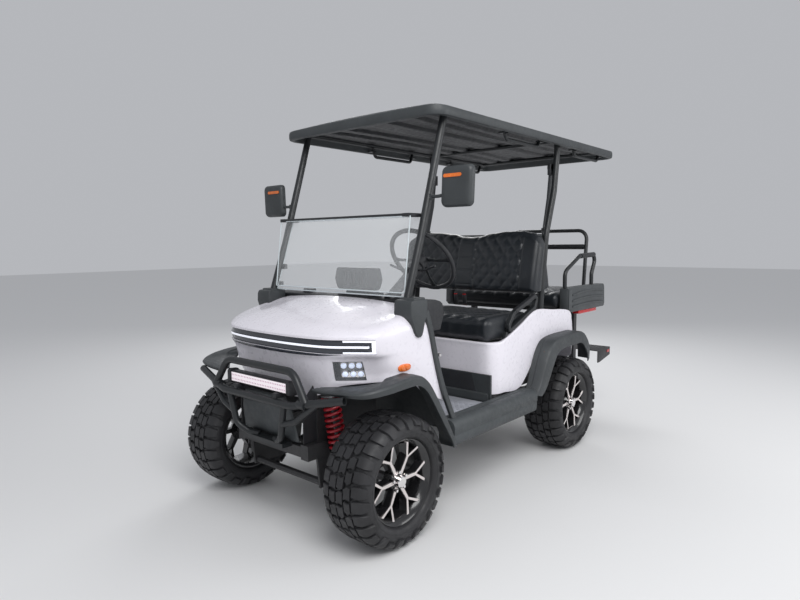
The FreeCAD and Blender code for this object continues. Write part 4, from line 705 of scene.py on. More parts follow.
# Flare sections: (outer x, y behind the axle, height, inner x, inner y, inner height, lip depth)
FRONT_FLARE = [
    (352, -262, 704, 350, -206, 706, 16), (480, -250, 709, 470, -118, 712, 20),
    (600, -206, 714, 535, -30, 722, 26), (652, -110, 730, 552, -10, 738, 30),
    (660, 0, 742, 560, 40, 744, 34), (660, 90, 742, 563, 100, 746, 36), (660, 150, 716, 564, 158, 722, 38),
    (660, 205, 652, 565, 214, 658, 36), (660, 290, 520, 565, 300, 524, 30),
    (658, 366, 392, 565, 372, 394, 22), (656, 374, 356, 565, 378, 356, 16),
]
REAR_FLARE = [
    (650, -512, 440, 566, -512, 452, 60), (656, -470, 500, 566, -478, 506, 70),
    (660, -400, 640, 566, -412, 650, 84), (660, -330, 718, 566, -340, 728, 84),
    (660, -228, 744, 566, -232, 752, 76), (660, -60, 748, 566, -60, 756, 68),
    (660, 70, 744, 566, 74, 750, 66), (660, 140, 700, 566, 148, 706, 66),
    (656, 190, 640, 566, 198, 644, 56), (650, 204, 562, 566, 208, 562, 30),
]


def flare_parts(stations, axle):
    """A flare as sections across it: crown, rounded outer edge, lip and the wall turned under."""
    # each section's points: the edge that they start from (0 inner, 1 outer), share of the width
    # from there, share of the lip's depth and millimetres further down
    shape = [
        (0, 0, 0, -2), (0, 0.3, 0, 1), (0, 0.36, 0, -5), (1, -0.16, 0, -6), (1, -0.05, 0, -2), (1, 0, 0, 6),
        (1, 0, 0.6, 0), (1, -0.01, 1, 0), (1, -0.09, 1, 2), (1, -0.12, 1, -6), (1, -0.14, 0, 10),
        (0, 0, 0, 8),
    ]
    sections = []
    for x, f, z, inner_x, inner_f, inner_z, lip in stations:
        outer = Vector((x, axle + f, z))
        inner = Vector((inner_x, axle + inner_f, inner_z))
        down = (Vector((0, axle, AXLE_Z + 30)) - Vector((0, axle + f, z))).normalized()
        across = outer - inner
        sections.append([
            (outer if edge else inner) + across * wide + down * (share * lip + more)
            for edge, wide, share, more in shape
        ])
    columns = [curve([section[k] for section in sections], 6) for k in range(len(shape))]
    return skin(list(zip(*columns)), wrap=True, first=True, last=True)


def make_flares():
    """Flares over the wheels, with reflectors let into them in dark frames."""
    for end, stations, axle in (("front", FRONT_FLARE, FRONT), ("rear", REAR_FLARE, REAR)):
        form = both(flare_parts(stations, axle))
        made = piece(f"{end}_flares_moulding", *form, TRIM, slot="black_trim", smooth=30)
        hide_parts(f"{end}_flares")
    frames, clear_parts, amber_parts = [], [], []
    for place, tilt in ((Vector((626, FRONT + 66, 742)), 0), (Vector((612, REAR - 398, 652)), 60)):
        turn = Matrix.Rotation(math.radians(tilt), 3, "X")
        for parts, low, high in (
            (frames, (-19, -34, -4), (19, 34, 3)), (clear_parts, (-13, -28, 2), (13, 4, 4.5)),
            (amber_parts, (-13, 6, 2), (13, 28, 4.5)),
        ):
            parts.append(block(place + Vector(low), place + Vector(high), turn, place))
    made = piece("flare_frames", *both(combined(frames)), DASH, slot="black_trim")
    bevelled(made, 2, 2, 40)
    piece("flare_reflectors", *both(combined(clear_parts)), CHROME, slot="lamp_clear")
    piece("flare_ambers", *both(combined(amber_parts)), AMBER, slot="lamp_red")


# Canopy

ROOF_LOW, ROOF_HIGH = (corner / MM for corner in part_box("roof"))


def roof_ring(inset, z, crown=0.0, radius=90):
    """A rounded rectangle in plan, set in from the roof's sides and bowed up across."""
    x1, y0, y1 = ROOF_HIGH.x - inset, ROOF_LOW.y + inset, ROOF_HIGH.y - inset
    outline = rounded((-x1, y0), (x1, y1), max(20.0, radius - inset), 8)
    made = [Vector((x, y, z)) for x, y in outline]
    dense = []
    for a, b in zip(made, made[1:] + made[:1]):
        parts = max(1, int((b - a).length / 60))
        dense += [a.lerp(b, k / parts) for k in range(parts)]
    for p in dense:
        p.z += crown * (1 - (p.x / ROOF_HIGH.x) ** 2)
    return dense


def make_roof():
    """Shell over a thick rounded rim, with a ribbed lining inside it."""
    edge, top = ROOF_LOW.z, ROOF_HIGH.z - 34
    # how far in from the sides, height, crown
    levels = [
        (70, edge + 34, 20), (46, edge + 30, 8), (34, edge + 8, 0), (26, edge + 1, 0), (12, edge, 0),
        (3, edge + 4, 0), (0, edge + 14, 0), (0, edge + 34, 2), (4, edge + 46, 4), (14, top - 8, 8),
        (40, top - 2, 12), (90, top, 22), (150, top + 1, 30), (260, top + 2, 32), (380, top + 2, 32),
        (540, top + 2, 32),
    ]
    rings = [roof_ring(*level) for level in levels]
    rings = [ring_resampled(ring, len(rings[0])) for ring in rings]
    shell = piece("roof_shell", *skin(rings, wrap=True, last=True), TRIM, slot="black_trim", smooth=32)
    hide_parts("roof")
    make_lining(edge)


def ring_resampled(ring, count):
    """The ring with its points spread to a fixed count, corner for corner."""
    if len(ring) == count:
        return ring
    lengths = [0.0]
    for a, b in zip(ring, ring[1:] + ring[:1]):
        lengths.append(lengths[-1] + (b - a).length)
    total, made, k = lengths[-1], [], 0
    for step in range(count):
        want = total * step / count
        while lengths[k + 1] < want:
            k += 1
        a, b = ring[k], ring[(k + 1) % len(ring)]
        made.append(a.lerp(b, (want - lengths[k]) / max(1e-6, lengths[k + 1] - lengths[k])))
    return made


def make_lining(edge):
    """Ceiling with long moulded ribs that bow out at the front and the rear."""
    x1, y0, y1 = ROOF_HIGH.x - 66, ROOF_LOW.y + 66, ROOF_HIGH.y - 66
    across, along = 96, 120
    grid = []
    for v in range(along + 1):
        y = between(y0, y1, v / along)
        bow = 60 * abs(2 * v / along - 1) ** 2
        near_end = min(v, along - v) / along
        row = []
        for u in range(across + 1):
            x = between(-x1, x1, u / across)
            rib = 0.0
            for centre, wide in ((0, 70), (205, 26), (330, 26)):
                gap = abs(abs(x) - centre - (bow if centre else 0)) - wide
                rib = max(rib, max(0.0, min(1.0, 1 - gap / 14)))
            rib *= min(1.0, near_end / 0.06)
            row.append(Vector((x, y, edge + 36 + 20 * (1 - (x / ROOF_HIGH.x) ** 2) + 8 - 16 * rib)))
        grid.append(row)
    piece("roof_lining", *skin(grid), DASH, slot="black_trim", smooth=40)


# Cushions

# Width of the stitched diamonds, and the share of a length that counts against it: they are
# longer than wide
DIAMOND = 84
SQUEEZE = 0.86


def quilt(a, b, cell, depth):
    """Depth of stitched diamonds at (a, b): two crossing sets of lines."""
    s, t = (a + b) / cell, (a - b) / cell
    puff = abs(math.sin(math.pi * s)) * abs(math.sin(math.pi * t))
    return depth * (puff ** 0.35 - 1)


def cushion(name, low, high, quilted, roll=(34.0, 58.0, 62.0), crown=16.0, cuts=76):
    """A seat cushion: a block with deep rolled edges, crowned top and stitched channels."""
    centre = (Vector(low) + Vector(high)) / 2
    half = (Vector(high) - Vector(low)) / 2
    body = bmesh.new()
    bmesh.ops.create_cube(body, size=2.0)
    bmesh.ops.subdivide_edges(body, edges=body.edges, cuts=cuts, use_grid_fill=True)
    for vert in body.verts:
        p = Vector([c * h for c, h in zip(vert.co, half)])
        inner = Vector([max(r - h, min(h - r, c)) for c, h, r in zip(p, half, roll)])
        out = Vector([(c - i) / r for c, i, r in zip(p, inner, roll)])
        if out.length > 1e-6:
            out.normalize()
            p = inner + Vector([o * r for o, r in zip(out, roll)])
        lift = max(0.0, out.z)
        dome = (1 - (p.x / half.x) ** 4) * (1 - (p.y / half.y) ** 2)
        p.z += crown * (dome - 1) * lift
        p += out * quilted(p, out)
        vert.co = (p + centre) * MM
    mesh = bpy.data.meshes.new(name)
    body.to_mesh(mesh)
    body.free()
    made = bpy.data.objects.new(name, mesh)
    bpy.context.scene.collection.objects.link(made)
    mesh.materials.append(LEATHER)
    mesh.shade_smooth()
    return made


def make_seats():
    """The cushions of both benches."""
    for name, node, body in (
        ("front_seat_pad", "front_cushion", "front_seat_base"), ("rear_seat_pad", "rear_cushion", "chassis"),
    ):
        low, high = (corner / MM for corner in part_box(node))
        facing = -1 if body == "front_seat_base" else 1
        border = (high[0] - low[0]) / 2 - 74

        def stitched(p, out):
            """Diamonds on the top, upright channels on the roll that faces the sitter's legs."""
            seam = -6.0 * math.exp(-((abs(p.x) - border) / 7.0) ** 2) * max(0.0, max(out.z, facing * out.y))
            if abs(p.x) > border or (out.z < 0.05 and facing * out.y < 0.3):
                return seam - 1.0
            middle = -5.0 * math.exp(-((abs(p.x) - 62) / 6.0) ** 2)
            front = max(0.0, facing * out.y)
            flat = max(0.0, min(1.0, 1.6 * out.z - 0.1))
            depth = quilt(p.x, p.y * SQUEEZE, DIAMOND, 8.0) * flat if abs(p.x) > 62 else 0.0
            wave = abs(math.sin(math.pi * p.x / DIAMOND)) ** 0.4
            return seam + middle + depth + 6.5 * (wave - 1) * front * (1 - flat * 0.7) - 1.0

        made = cushion(name, low, high, stitched)
        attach(made, body)
        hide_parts(node)


# Front end

COWL_POINTS = [[Vector(p) for p in behind(FRONT, row)] for row in COWL]


def cowl_point(u, v):
    """A place on the cowl's left half; u counts columns and v rows."""
    return curve_at([curve_at(row, u) for row in COWL_POINTS], v)


def on_cowl(u, v, out=0.0):
    """A place on the cowl's left half, and so far out of it; u counts columns and v rows."""
    step, last_u, last_v = 0.01, len(COWL[0]) - 1, len(COWL) - 1
    around = cowl_point(min(last_u, u + step), v) - cowl_point(max(0, u - step), v)
    upward = cowl_point(u, min(last_v, v + step)) - cowl_point(u, max(0, v - step))
    return cowl_point(u, v) + around.cross(upward).normalized() * out


def make_band():
    """Sunk dark band with a bright line along it and a bright bracket round each end."""
    # along the cowl's table: where a bracket starts, the line ends and the bracket turns upright
    bracket, line_end, turn = 3.45, 4.62, 4.78
    line, arms = (3.43, 3.57), ((3.04, 3.19), (3.81, 3.96))
    flush, inlaid, sunk = -1.0, -2.0, -8.0
    levels = [2.94, 3.0, 3.04, 3.19, 3.23, 3.39, 3.43, 3.57, 3.61, 3.77, 3.81, 3.96, 4.0, 4.06]
    stops = sorted([k / 14 for k in range(71)] + [bracket + 0.02, line_end + 0.02, turn + 0.02, 5.03])

    def lit(u, low, high):
        """Whether the band shines at u between two levels."""
        if u > turn:
            return low >= 3.03 and high <= 3.97
        if (low, high) == line:
            return u < line_end
        return (low, high) in arms and u > bracket

    def depth(u, v):
        """How far out of the cowl the band lies at u and a level."""
        if v < 2.97 or v > 4.03 or u > 5.01:
            return flush
        if u > turn:
            return inlaid if 3.03 < v < 3.97 else sunk
        if v in line:
            return flush if u < line_end else sunk
        if v in arms[0] + arms[1]:
            return inlaid if u > bracket else sunk
        return sunk

    grid = mirrored_grid([[on_cowl(u, v, depth(u, v)) for u in stops] for v in levels])
    middle = len(stops) - 1
    tint = []
    for low, high in zip(levels, levels[1:]):
        for k in range(2 * middle):
            m = k - middle if k >= middle else middle - 1 - k
            tint.append(1 if lit((stops[m] + stops[m + 1]) / 2, low, high) else 0)
    made = piece("light_band_face", *skin(grid), [BAND, LED], slot="band_black", tint=tint, smooth=25)
    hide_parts("light_band")
    # the dark panel goes on below the band as a crescent
    reach, rows = 3.4, 4
    crescent = []
    for m in range(rows + 1):
        row = []
        for k in range(41):
            u = reach * k / 40
            deep = 0.5 * math.cos(math.pi / 2 * u / reach) ** 0.8
            row.append(on_cowl(u, 3.0 + 0.02 - (deep + 0.02) * m / rows, 1.2 if m < rows else -0.6))
        crescent.append(row)
    piece("light_band_crescent", *skin(mirrored_grid(crescent)), BAND, slot="band_black")


def lens_parts(centre, out, radius, dome):
    """A ring and a domed lens that look along out."""
    ring = turned_round([(-6, radius + 2.5), (1.5, radius + 2.5), (2.0, radius + 1.2), (-1, radius)], 24)
    angles = (0, 0.25, 0.5, 0.8, 1.1, 1.35, 1.5705)
    glass = turned_round([(-1 + dome * math.sin(a), radius * math.cos(a)) for a in angles], 24)
    return [aimed(parts, centre, out) for parts in (ring, glass)]


def make_headlamps():
    """Lamps let into the cowl: a dark side, six domed lenses that glow as painted highlights before a bright
    plate, one clear cover.
    """
    edge = [(3.02, 1.03), (3.98, 1.03), (3.98, 1.97), (3.02, 1.97)]
    count = 10
    rim = []
    for (u0, v0), (u1, v1) in zip(edge, edge[1:] + edge[:1]):
        rim += [(between(u0, u1, k / count), between(v0, v1, k / count)) for k in range(count)]
    rows = [[on_cowl(u, v, out) for u, v in rim] for out in (-1.0, -26.0)]
    rows.append([on_cowl(between(3.5, u, 0.86), between(1.5, v, 0.86), -30.0) for u, v in rim])
    bowl = skin(rows, wrap=True, last=True)
    rings, lenses = [], []
    for row in (1.32, 1.70):
        for column in (3.36, 3.60, 3.83):
            centre = on_cowl(column, row, -16.0)
            out = (on_cowl(column, row, 0.0) - centre).normalized()
            ring, glass = lens_parts(centre, out, 12.0, 7.0)
            rings.append(ring)
            lenses.append(glass)

    def patch(low, high, across, upright, out):
        """A sheet that follows the cowl between two corners given in its columns and rows."""
        return skin([
            [on_cowl(between(low[0], high[0], u / across), between(low[1], high[1], v / upright), out)
             for u in range(across + 1)]
            for v in range(upright + 1)
        ])

    plate = patch((3.24, 1.09), (3.95, 1.92), 8, 5, -19.0)
    made = piece("headlamps_bowl", *both(bowl), DASH, slot="band_black", smooth=30)
    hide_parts("headlamps")
    piece("headlamps_reflector", *both(combined([plate, *rings])), CHROME, slot="lamp_clear", smooth=30)
    # the lenses' glow is a painted highlight, not lamp light
    piece("headlamps_lenses", *both(combined(lenses)), LENS_GLINT, slot="lamp_clear", smooth=50)
    piece("headlamps_cover", *both(patch((3.0, 1.0), (4.0, 2.0), 14, 10, -1.5)), LENS, slot="lamp_clear")


def oval_plate(centre, right, up, half_wide, half_high, thick, count=32, square=1.0):
    """A flat-topped oval button: its plate rises by thick, with a rounded edge."""
    out = right.cross(up).normalized()
    rings = []
    for grow, rise in ((1.0, 0.0), (1.0, 0.55), (0.93, 0.86), (0.8, 1.0)):
        ring = []
        for c, s in circle(1.0, count):
            c = math.copysign(abs(c) ** square, c) * half_wide * grow
            s = math.copysign(abs(s) ** square, s) * half_high * grow
            ring.append(centre + right * c + up * s + out * (rise * thick))
        rings.append(ring)
    return skin(rings, wrap=True, last=True)


def make_markers():
    """Amber side markers with two lenses each."""
    centre = on_cowl(6.75, 1.12, 1.0)
    right = (on_cowl(6.95, 1.04, 1.0) - on_cowl(6.55, 1.12, 1.0)).normalized()
    out = (on_cowl(6.75, 1.12, 5.0) - centre).normalized()
    up = out.cross(right).normalized()
    base = oval_plate(centre - out * 2, right, up, 39, 17, 7, square=0.8)
    glass = [
        oval_plate(centre + right * (side * 15) + out * 4, right, up, 13.5, 11.5, 5, count=24)
        for side in (-1, 1)
    ]
    piece("side_markers", *both(base), AMBER, slot="lamp_red", smooth=30)
    piece("side_marker_lenses", *both(combined(glass)), AMBER, slot="lamp_red", smooth=30)


def make_side_strips():
    """Dark strips that close the cowl's rear edge, down to the rockers, with a lock in the left one."""
    line = curve(behind(FRONT, [
        (557, 264, 1012), (562, 282, 950), (566, 300, 880), (568, 330, 770), (572, 372, 640),
        (586, 404, 540), (612, 424, 440), (618, 430, 380),
    ]), 6)
    section = [(-15, -7), (-11, -10), (11, -10), (15, -7), (15, 6), (-15, 6)]
    rows = []
    for k, p in enumerate(line):
        run = (line[min(k + 1, len(line) - 1)] - line[max(k - 1, 0)]).normalized()
        across = run.cross(Vector((1, 0, 0))).normalized()
        out = across.cross(run).normalized()
        out = out if out.x > 0 else -out
        rows.append([p + across * u - out * v for u, v in section])
    strips = skin(rows, wrap=True, first=True, last=True)
    piece("side_strips", *both(strips), TRIM, slot="black_trim", smooth=30)
    barrel = [(578, 0), (578, 7), (570, 8), (568, 11), (562, 11)]
    lock = [turned_round(barrel, 20, (0, FRONT + 348, 795))]
    lock.append(block((574, FRONT + 345, 788), (582, FRONT + 351, 802)))
    piece("cowl_lock", *combined(lock), CHROME, slot="black_trim")


# The bull bar's main tube
BAR_Y = FRONT - 297.5
BAR_Z = 626.0


def open_pipe(line, radius, bend, wall=3.0, depth=40.0):
    """A bent tube whose ends are open for a little way."""
    path = arc_path(line, bend)
    points, faces = swept(path, circle(radius))
    made = [(points, faces[:-2])]
    for end, inward in ((0, 1), (-1, -1)):
        run = (path[end + inward] - path[end]).normalized()
        bore = turned_round([(0, radius), (0, radius - wall), (depth, radius - wall), (depth, 0)], 20)
        made.append(aimed(bore, path[end], run))
    return combined(made)


def at_bar(places):
    """Places given as (y, z) or (x, y, z), counted from the bull bar's main tube."""
    return [(*p[:-1], BAR_Z + p[-1]) for p in behind(BAR_Y, places)]


def make_bull_bar():
    """Main tube with open ends, hoop, uprights, braces, lugs and bottom plate, and the belly cover."""
    parts = [
        open_pipe(at_bar([(-532, 58, 56), (-256, 0, 0), (256, 0, 0), (532, 58, 56)]), 17.5, 120),
        pipe(at_bar([(-338, 14, 20), (-250, 22, 146), (250, 22, 146), (338, 14, 20)]), 17.5, 80),
    ]
    for sign in (-1, 1):
        upright = [(205, 0, 0), (170, 10, -156), (110, 40, -196), (60, 60, -202)]
        brace = [(186, 6, -96), (270, 12, -70), (400, 30, 29)]
        for line, radius in ((upright, 15.5), (brace, 14.5)):
            parts.append(pipe(at_bar([(sign * x, f, h) for x, f, h in line]), radius, 60))
        # mounting lugs where the hoop meets the main tube
        lug_profile = [(-24, 0), (-24, 21), (-18, 22), (18, 22), (24, 21), (24, 0)]
        parts.append(turned_round(lug_profile, 20, (sign * 318, BAR_Y + 13, BAR_Z + 14)))
    near, far, low = BAR_Y + 30, FRONT - 215, BAR_Z - 221
    parts.append(prism([(near, low), (far, low), (far, low + 20), (near, low + 20)], "x", -150, 150))
    made = piece("bull_bar_tubes", *combined(parts), TUBE, slot="black_tube", smooth=40)
    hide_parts("bull_bar")
    rows = [
        [Vector((-half * share, FRONT + f, z)) for share in (1, 0.5, 0, -0.5, -1)]
        for half, f, z in ((205, -214, 430), (190, -236, 560), (150, -244, 640))
    ]
    cover = piece("belly_cover", *skin(sheet_grid(rows, 5, 6)), ROCKER, slot="dark_rocker")
    walled(cover, 4)


def make_light_bar():
    """Lamp bar with deep end caps on two feet, and two rows of small lamps on a bright face."""
    shell = [(18, 39), (60, 44), (62, 92), (18, 97), (14, 92), (14, 44)]
    cap = [(12, 38), (22, 34), (56, 36), (64, 44), (64, 92), (56, 100), (22, 102), (12, 98), (9, 90), (9, 46)]
    foot = [(-8, 18.5), (40, 18.5), (40, 42), (-8, 42)]
    parts = [prism(at_bar(shell), "x", -216, 216)]
    parts += [prism(at_bar(cap), "x", x, x + 22) for x in (-236, 214)]
    parts += [prism(at_bar(foot), "x", x - 12, x + 12) for x in (-150, 150)]
    made = piece("light_bar_case", *combined(parts), DASH, slot="black_tube", smooth=30)
    bevelled(made, 1.5, 2, 40)
    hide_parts("light_bar")
    face = block(*at_bar([(-206, 12.6, 47), (206, 13.6, 89)]))
    piece("light_bar_face", *face, FACE, slot="lamp_clear")
    dots = []
    for k in range(33):
        for row in (-9.5, 9.5):
            profile = [(BAR_Y + 12.7, 4.4), (BAR_Y + 11.8, 4.0), (BAR_Y + 12.3, 0)]
            dots.append(turned_round(profile, 10, (-200 + 12.5 * k, 0, BAR_Z + 68 + row), "y"))
    piece("light_bar_dots", *combined(dots), DOT, slot="lamp_clear")


# Canopy frame


def flat_swept(line, width, thick, bend, across=Vector((1, 0, 0)), rounding=4.0):
    """A bar of rounded flat section along a bent line; its width keeps to one direction."""
    w, t = width / 2, thick / 2
    corners = rounded((-w, -t), (w, t), rounding, 3)
    path = arc_path(line, bend)
    rows = []
    for k, p in enumerate(path):
        run = (path[min(k + 1, len(path) - 1)] - path[max(k - 1, 0)]).normalized()
        side = (across - run * across.dot(run)).normalized()
        other = run.cross(side)
        rows.append([p + side * u + other * v for u, v in corners])
    return skin(rows, wrap=True, first=True, last=True)


def make_canopy_frame():
    """Pillars, roof rails with their handles, and cross tubes."""
    x, rail = 500, 1970.0
    front_run = [(x, 190, 1036), (x, 299, 1344), (x, 437, rail - 180), (x, 492, rail)]
    rear_run = [
        (x, -215, 700.3), (x, -215, 860), (x, -197, 1037), (x, -148, 1374), (x, -51, 1645),
        (x, -16, rail - 90), (x, -16, rail),
    ]
    parts = [pipe(behind(FRONT, front_run), 19, 200), pipe(behind(REAR, rear_run), 19, 260)]
    parts.append(pipe([(x, FRONT + 440, rail + 1), (x, REAR + 700, rail + 1)], 15.5))
    for start in (REAR - 660, REAR + 210):
        end = start + 410
        parts.append(
            pipe([(x, start, 1952), (x, start + 24, 1900), (x, end - 24, 1900), (x, end, 1952)], 10.5, 26)
        )
        for y in (start - 6, end + 6):
            parts.append(block((x - 16, y - 24, 1928), (x + 16, y + 24, 1936)))
    crosses = [pipe([(-x, y, rail), (x, y, rail)], 14) for y in (FRONT + 470, REAR - 10, REAR + 660)]
    form = combined([both(combined(parts)), *crosses])
    made = piece("canopy_tubes", *form, TUBE, slot="black_tube", smooth=40)
    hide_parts("canopy_frame")


def make_pillar_feet():
    """Moulded feet over the front pillars' ends, each with a rounded tongue down the cowl's side."""
    profile = [
        (262, 1068), (164, 1070), (150, 1066), (143, 1050), (141, 1010), (150, 980), (164, 946), (174, 920),
        (184, 904), (198, 896), (212, 896), (224, 904), (232, 922), (244, 964), (262, 1000),
    ]
    top = [(256, 1064), (168, 1064), (176, 1078), (250, 1078)]
    parts = [prism(behind(FRONT, profile), "x", 468, 573), prism(behind(FRONT, top), "x", 474, 567)]
    made = piece("pillar_feet_covers", *both(combined(parts)), TRIM, slot="black_trim", smooth=30)
    bevelled(made, 5, 3, 40)
    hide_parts("pillar_feet")


def make_windshield():
    """Fixed pane and the folded upper pane, with clips half way and clamps along the hinge."""
    low, high = 1076, 1455
    panes, edges = [], []
    # lower edge and upper edge behind the axle, their heights, half the width
    for y0, y1, z0, z1, half in ((214, 340, low, high, 482), (205, 250, low + 19, high, 478)):
        outline = behind(FRONT, [(y0, z0), (y0 + 5, z0), (y1 + 5, z1), (y1, z1)])
        panes.append(prism(outline, "x", -half, half))
        y0, y1 = FRONT + y0 + 2.5, FRONT + y1 + 2.5
        for a, b in (
            ((-half, y0, z0), (-half, y1, z1)), ((-half, y0, z0), (half, y0, z0)),
            ((half, y0, z0), (half, y1, z1)), ((-half, y1, z1), (half, y1, z1)),
        ):
            edges.append(swept([a, b], circle(3.2, 8)))
    made = piece("windshield_panes", *combined(panes), PANE, slot="clear_pane")
    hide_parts("windshield")
    piece("windshield_edges", *combined(edges), EDGE, slot="clear_pane")
    clamp = behind(FRONT, [(244, high - 4), (352, high - 4), (352, high + 13), (244, high + 13)])
    parts = [prism(clamp, "x", x, x + 44) for x in (-478, 434)]
    parts.append(pipe([(-478, FRONT + 252, high + 6), (478, FRONT + 252, high + 6)], 6))
    for x in (-488, 462):
        parts.append(block((x, FRONT + 248, 1186), (x + 26, FRONT + 276, 1214)))
        parts.append(block((x, FRONT + 226, 1096), (x + 26, FRONT + 246, 1116)))
    made = piece("windshield_clamps", *combined(parts), DASH, slot="black_trim", smooth=30)
    bevelled(made, 2.5, 2, 40)


def make_mirrors():
    """Tall rounded heads with an amber strip along the front's top, each on an arm from its pillar."""
    low, high = (583, 1491), (759, 1679)
    middle = Vector(((low[0] + high[0]) / 2, 0, (low[1] + high[1]) / 2))

    def outline_at(grow, y):
        """The head's outline at a size, so far behind the front axle."""
        ring = [middle + (Vector((x, 0, z)) - middle) * grow for x, z in rounded(low, high, 26, 6, slant=6)]
        return [Vector((p.x, FRONT + y, p.z)) for p in ring]

    # the head's outlines from glass to back: size, place behind the axle
    levels = ((0.955, 377), (1.0, 374), (1.0, 362), (0.985, 354), (0.94, 346), (0.86, 341), (0.6, 339))
    heads = [skin([outline_at(*level) for level in levels], wrap=True, last=True)]
    glass_ring = outline_at(0.93, 375.5)
    glass = (glass_ring, [tuple(range(len(glass_ring)))])
    heads.append(pipe(behind(FRONT, [(519.5, 361, 1545), (560, 361, 1545), (620, 360, 1552)]), 8, 20))
    heads.append(block((510, FRONT + 350, 1533), (526, FRONT + 372, 1557)))
    strip = [
        (612, 1626), (702, 1626), (707, 1631), (707, 1637), (702, 1642), (612, 1642), (607, 1637), (607, 1631)
    ]
    made = piece("mirror_heads", *both(combined(heads)), TRIM, slot="black_trim", smooth=40)
    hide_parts("mirrors")
    piece("mirror_glass", *both(glass), CHROME, slot="black_trim")
    piece("mirror_strips", *both(prism(strip, "y", FRONT + 336, FRONT + 345)), AMBER, slot="lamp_red")


# Front suspension


def make_suspension():
    """Red springs round dampers, wishbones and their bushes, before dark sheets that paint the wheel wells'
    shade.
    """
    # Dark upright sheets behind the front suspension: painted shade that keeps the wheel wells black.
    outline = [(-215, 430), (262, 430), (256, 640), (120, 712), (-140, 700), (-215, 628)]
    shade_sheet = prism(behind(FRONT, outline), "x", 234, 238)
    piece("well_shade_sheets", *both(shade_sheet), DASH, slot="black_trim")
    foot, head = Vector((340, FRONT - 69, AXLE_Z - 58)), Vector((288, FRONT - 105, 692))
    axis = (head - foot).normalized()
    side = axis.orthogonal().normalized()
    other = axis.cross(side)
    turns, steps, coil_radius = 9.5, 28, 36
    coil = []
    for k in range(int(turns * steps) + 1):
        a = 2 * math.pi * k / steps
        rise = between(161, 401, k / (turns * steps))
        coil.append(foot + axis * rise + (side * math.cos(a) + other * math.sin(a)) * coil_radius)
    spring = swept(coil, circle(7.0, 10))
    length = (head - foot).length
    profile = [(0, 0), (0, 17), (8, 19), (206, 19), (210, 15), (212, 9), (length, 9), (length, 0)]
    damper = turned_round(profile, 24)
    cups = [turned_round([(z, 18), (z - 6, 30), (z - 6, 43), (z, 43), (z, 20)], 28) for z in (154, 416)]
    dampers = combined([aimed(parts, foot, axis) for parts in (damper, *cups)])
    kingpin = 470.0
    arms = []
    # lower and upper wishbone: pivot's x and z, eye's lower face, half the spread, bar radius
    for x, pivot_z, eye_z, spread, radius in (
        (254 + 13.3, AXLE_Z - 70, AXLE_Z - 85.3, 105, 9), (265 + 13.3, AXLE_Z + 100, AXLE_Z + 65.3, 62, 7),
    ):
        for way in (-1, 1):
            bar = [(x, way * spread, pivot_z), (kingpin - 20, way * 7, eye_z + 10)]
            arms.append(pipe(behind(FRONT, bar), radius))
        arms.append(pipe(behind(FRONT, [(x, -spread - 18, pivot_z), (x, spread + 18, pivot_z)]), 13))
        eye = [(eye_z, 9.4), (eye_z, 20), (eye_z + 20, 20), (eye_z + 20, 9.4), (eye_z, 9.4)]
        arms.append(turned_round(eye, 28, (kingpin, FRONT, 0), "z"))
    made = piece("front_springs", *both(spring), SPRING, slot="red_spring", smooth=50)
    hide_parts("front_suspension")
    piece("front_dampers", *both(dampers), STEEL, slot="cast_steel", smooth=40)
    piece("front_wishbones", *both(combined(arms)), CHASSIS, slot="frame_steel", smooth=40)


# Cabin


def make_steering_wheel():
    """Padded rim, three tapered spokes and a stepped hub; it turns with its own body."""
    hub, axis = Vector((300, FRONT + 560, 1240)), Vector((0, 0.80902, 0.58779))
    right, up = Vector((1, 0, 0)), Vector((0, -axis.z, axis.y))

    def placed(parts):
        """Parts made as (along the column, right, up), set at the hub."""
        points, faces = parts
        return [hub + axis * p[0] + right * p[1] + up * p[2] for p in points], faces

    rings = []
    count, around = 120, 14
    for k in range(count):
        a = 2 * math.pi * k / count
        grip = 12.2 - 1.0 * math.exp(-((math.sin(7 * a)) / 0.25) ** 2)
        ring = []
        for m in range(around):
            b = 2 * math.pi * m / around
            r = 187 + grip * math.cos(b)
            ring.append(Vector((grip * math.sin(b), r * math.cos(a), r * math.sin(a))))
        rings.append(ring)
    # the last ring repeats the first one, and its points are merged
    rim = placed(skin(rings + rings[:1], wrap=True))
    spokes = []
    for angle in (0, 180, 270):
        c, s = math.cos(math.radians(angle)), math.sin(math.radians(angle))
        rows = []
        for k in range(13):
            t = k / 12
            out = between(30, 182, t)
            half = 15 - 9 * math.sin(math.pi * t) ** 0.8 * 0.6 + (3 if t > 0.9 else 0)
            depth = -5 * math.sin(math.pi * t)
            rows.append([
                Vector(
                    (depth + 4.6 * v, out * c - half * u * s, out * s + half * u * c)
                ) for u, v in circle(1.0, 10)
            ])
        spokes.append(placed(skin(rows, wrap=True)))
    boss = [(-59, 0), (-59, 30), (-52, 39), (-18, 39.5), (-6, 39), (4, 36), (9, 30), (11.5, 18), (12, 0)]
    form = combined([rim, placed(turned_round(boss, 40))])
    made = piece("steering_rim", *form, DASH, body="steering_wheel", slot="dash_black", smooth=40)
    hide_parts("steering_wheel")
    piece("steering_spokes", *combined(spokes), TUBE, body="steering_wheel", slot="dash_black", smooth=50)
    shroud = placed(turned_round([(-138, 26), (-134, 36), (-100, 40), (-72, 42), (-64, 40), (-62, 26)], 36))
    piece("column_shroud", *shroud, DASH, slot="dash_black")
    levers = []
    root = hub - axis * 92
    for side in (-1, 1):
        tip = root + right * (side * 150) + up * 26 + axis * 10
        levers.append(pipe([root + right * (side * 30), root + right * (side * 90) + up * 8, tip], 6, 30))
    piece("column_levers", *combined(levers), DASH, slot="dash_black")
    cap = placed(turned_round([(11.5, 0), (12.2, 0), (12.2, 15), (11.2, 16)], 32))
    piece("steering_cap", *cap, CHROME, body="steering_wheel", slot="dash_black")


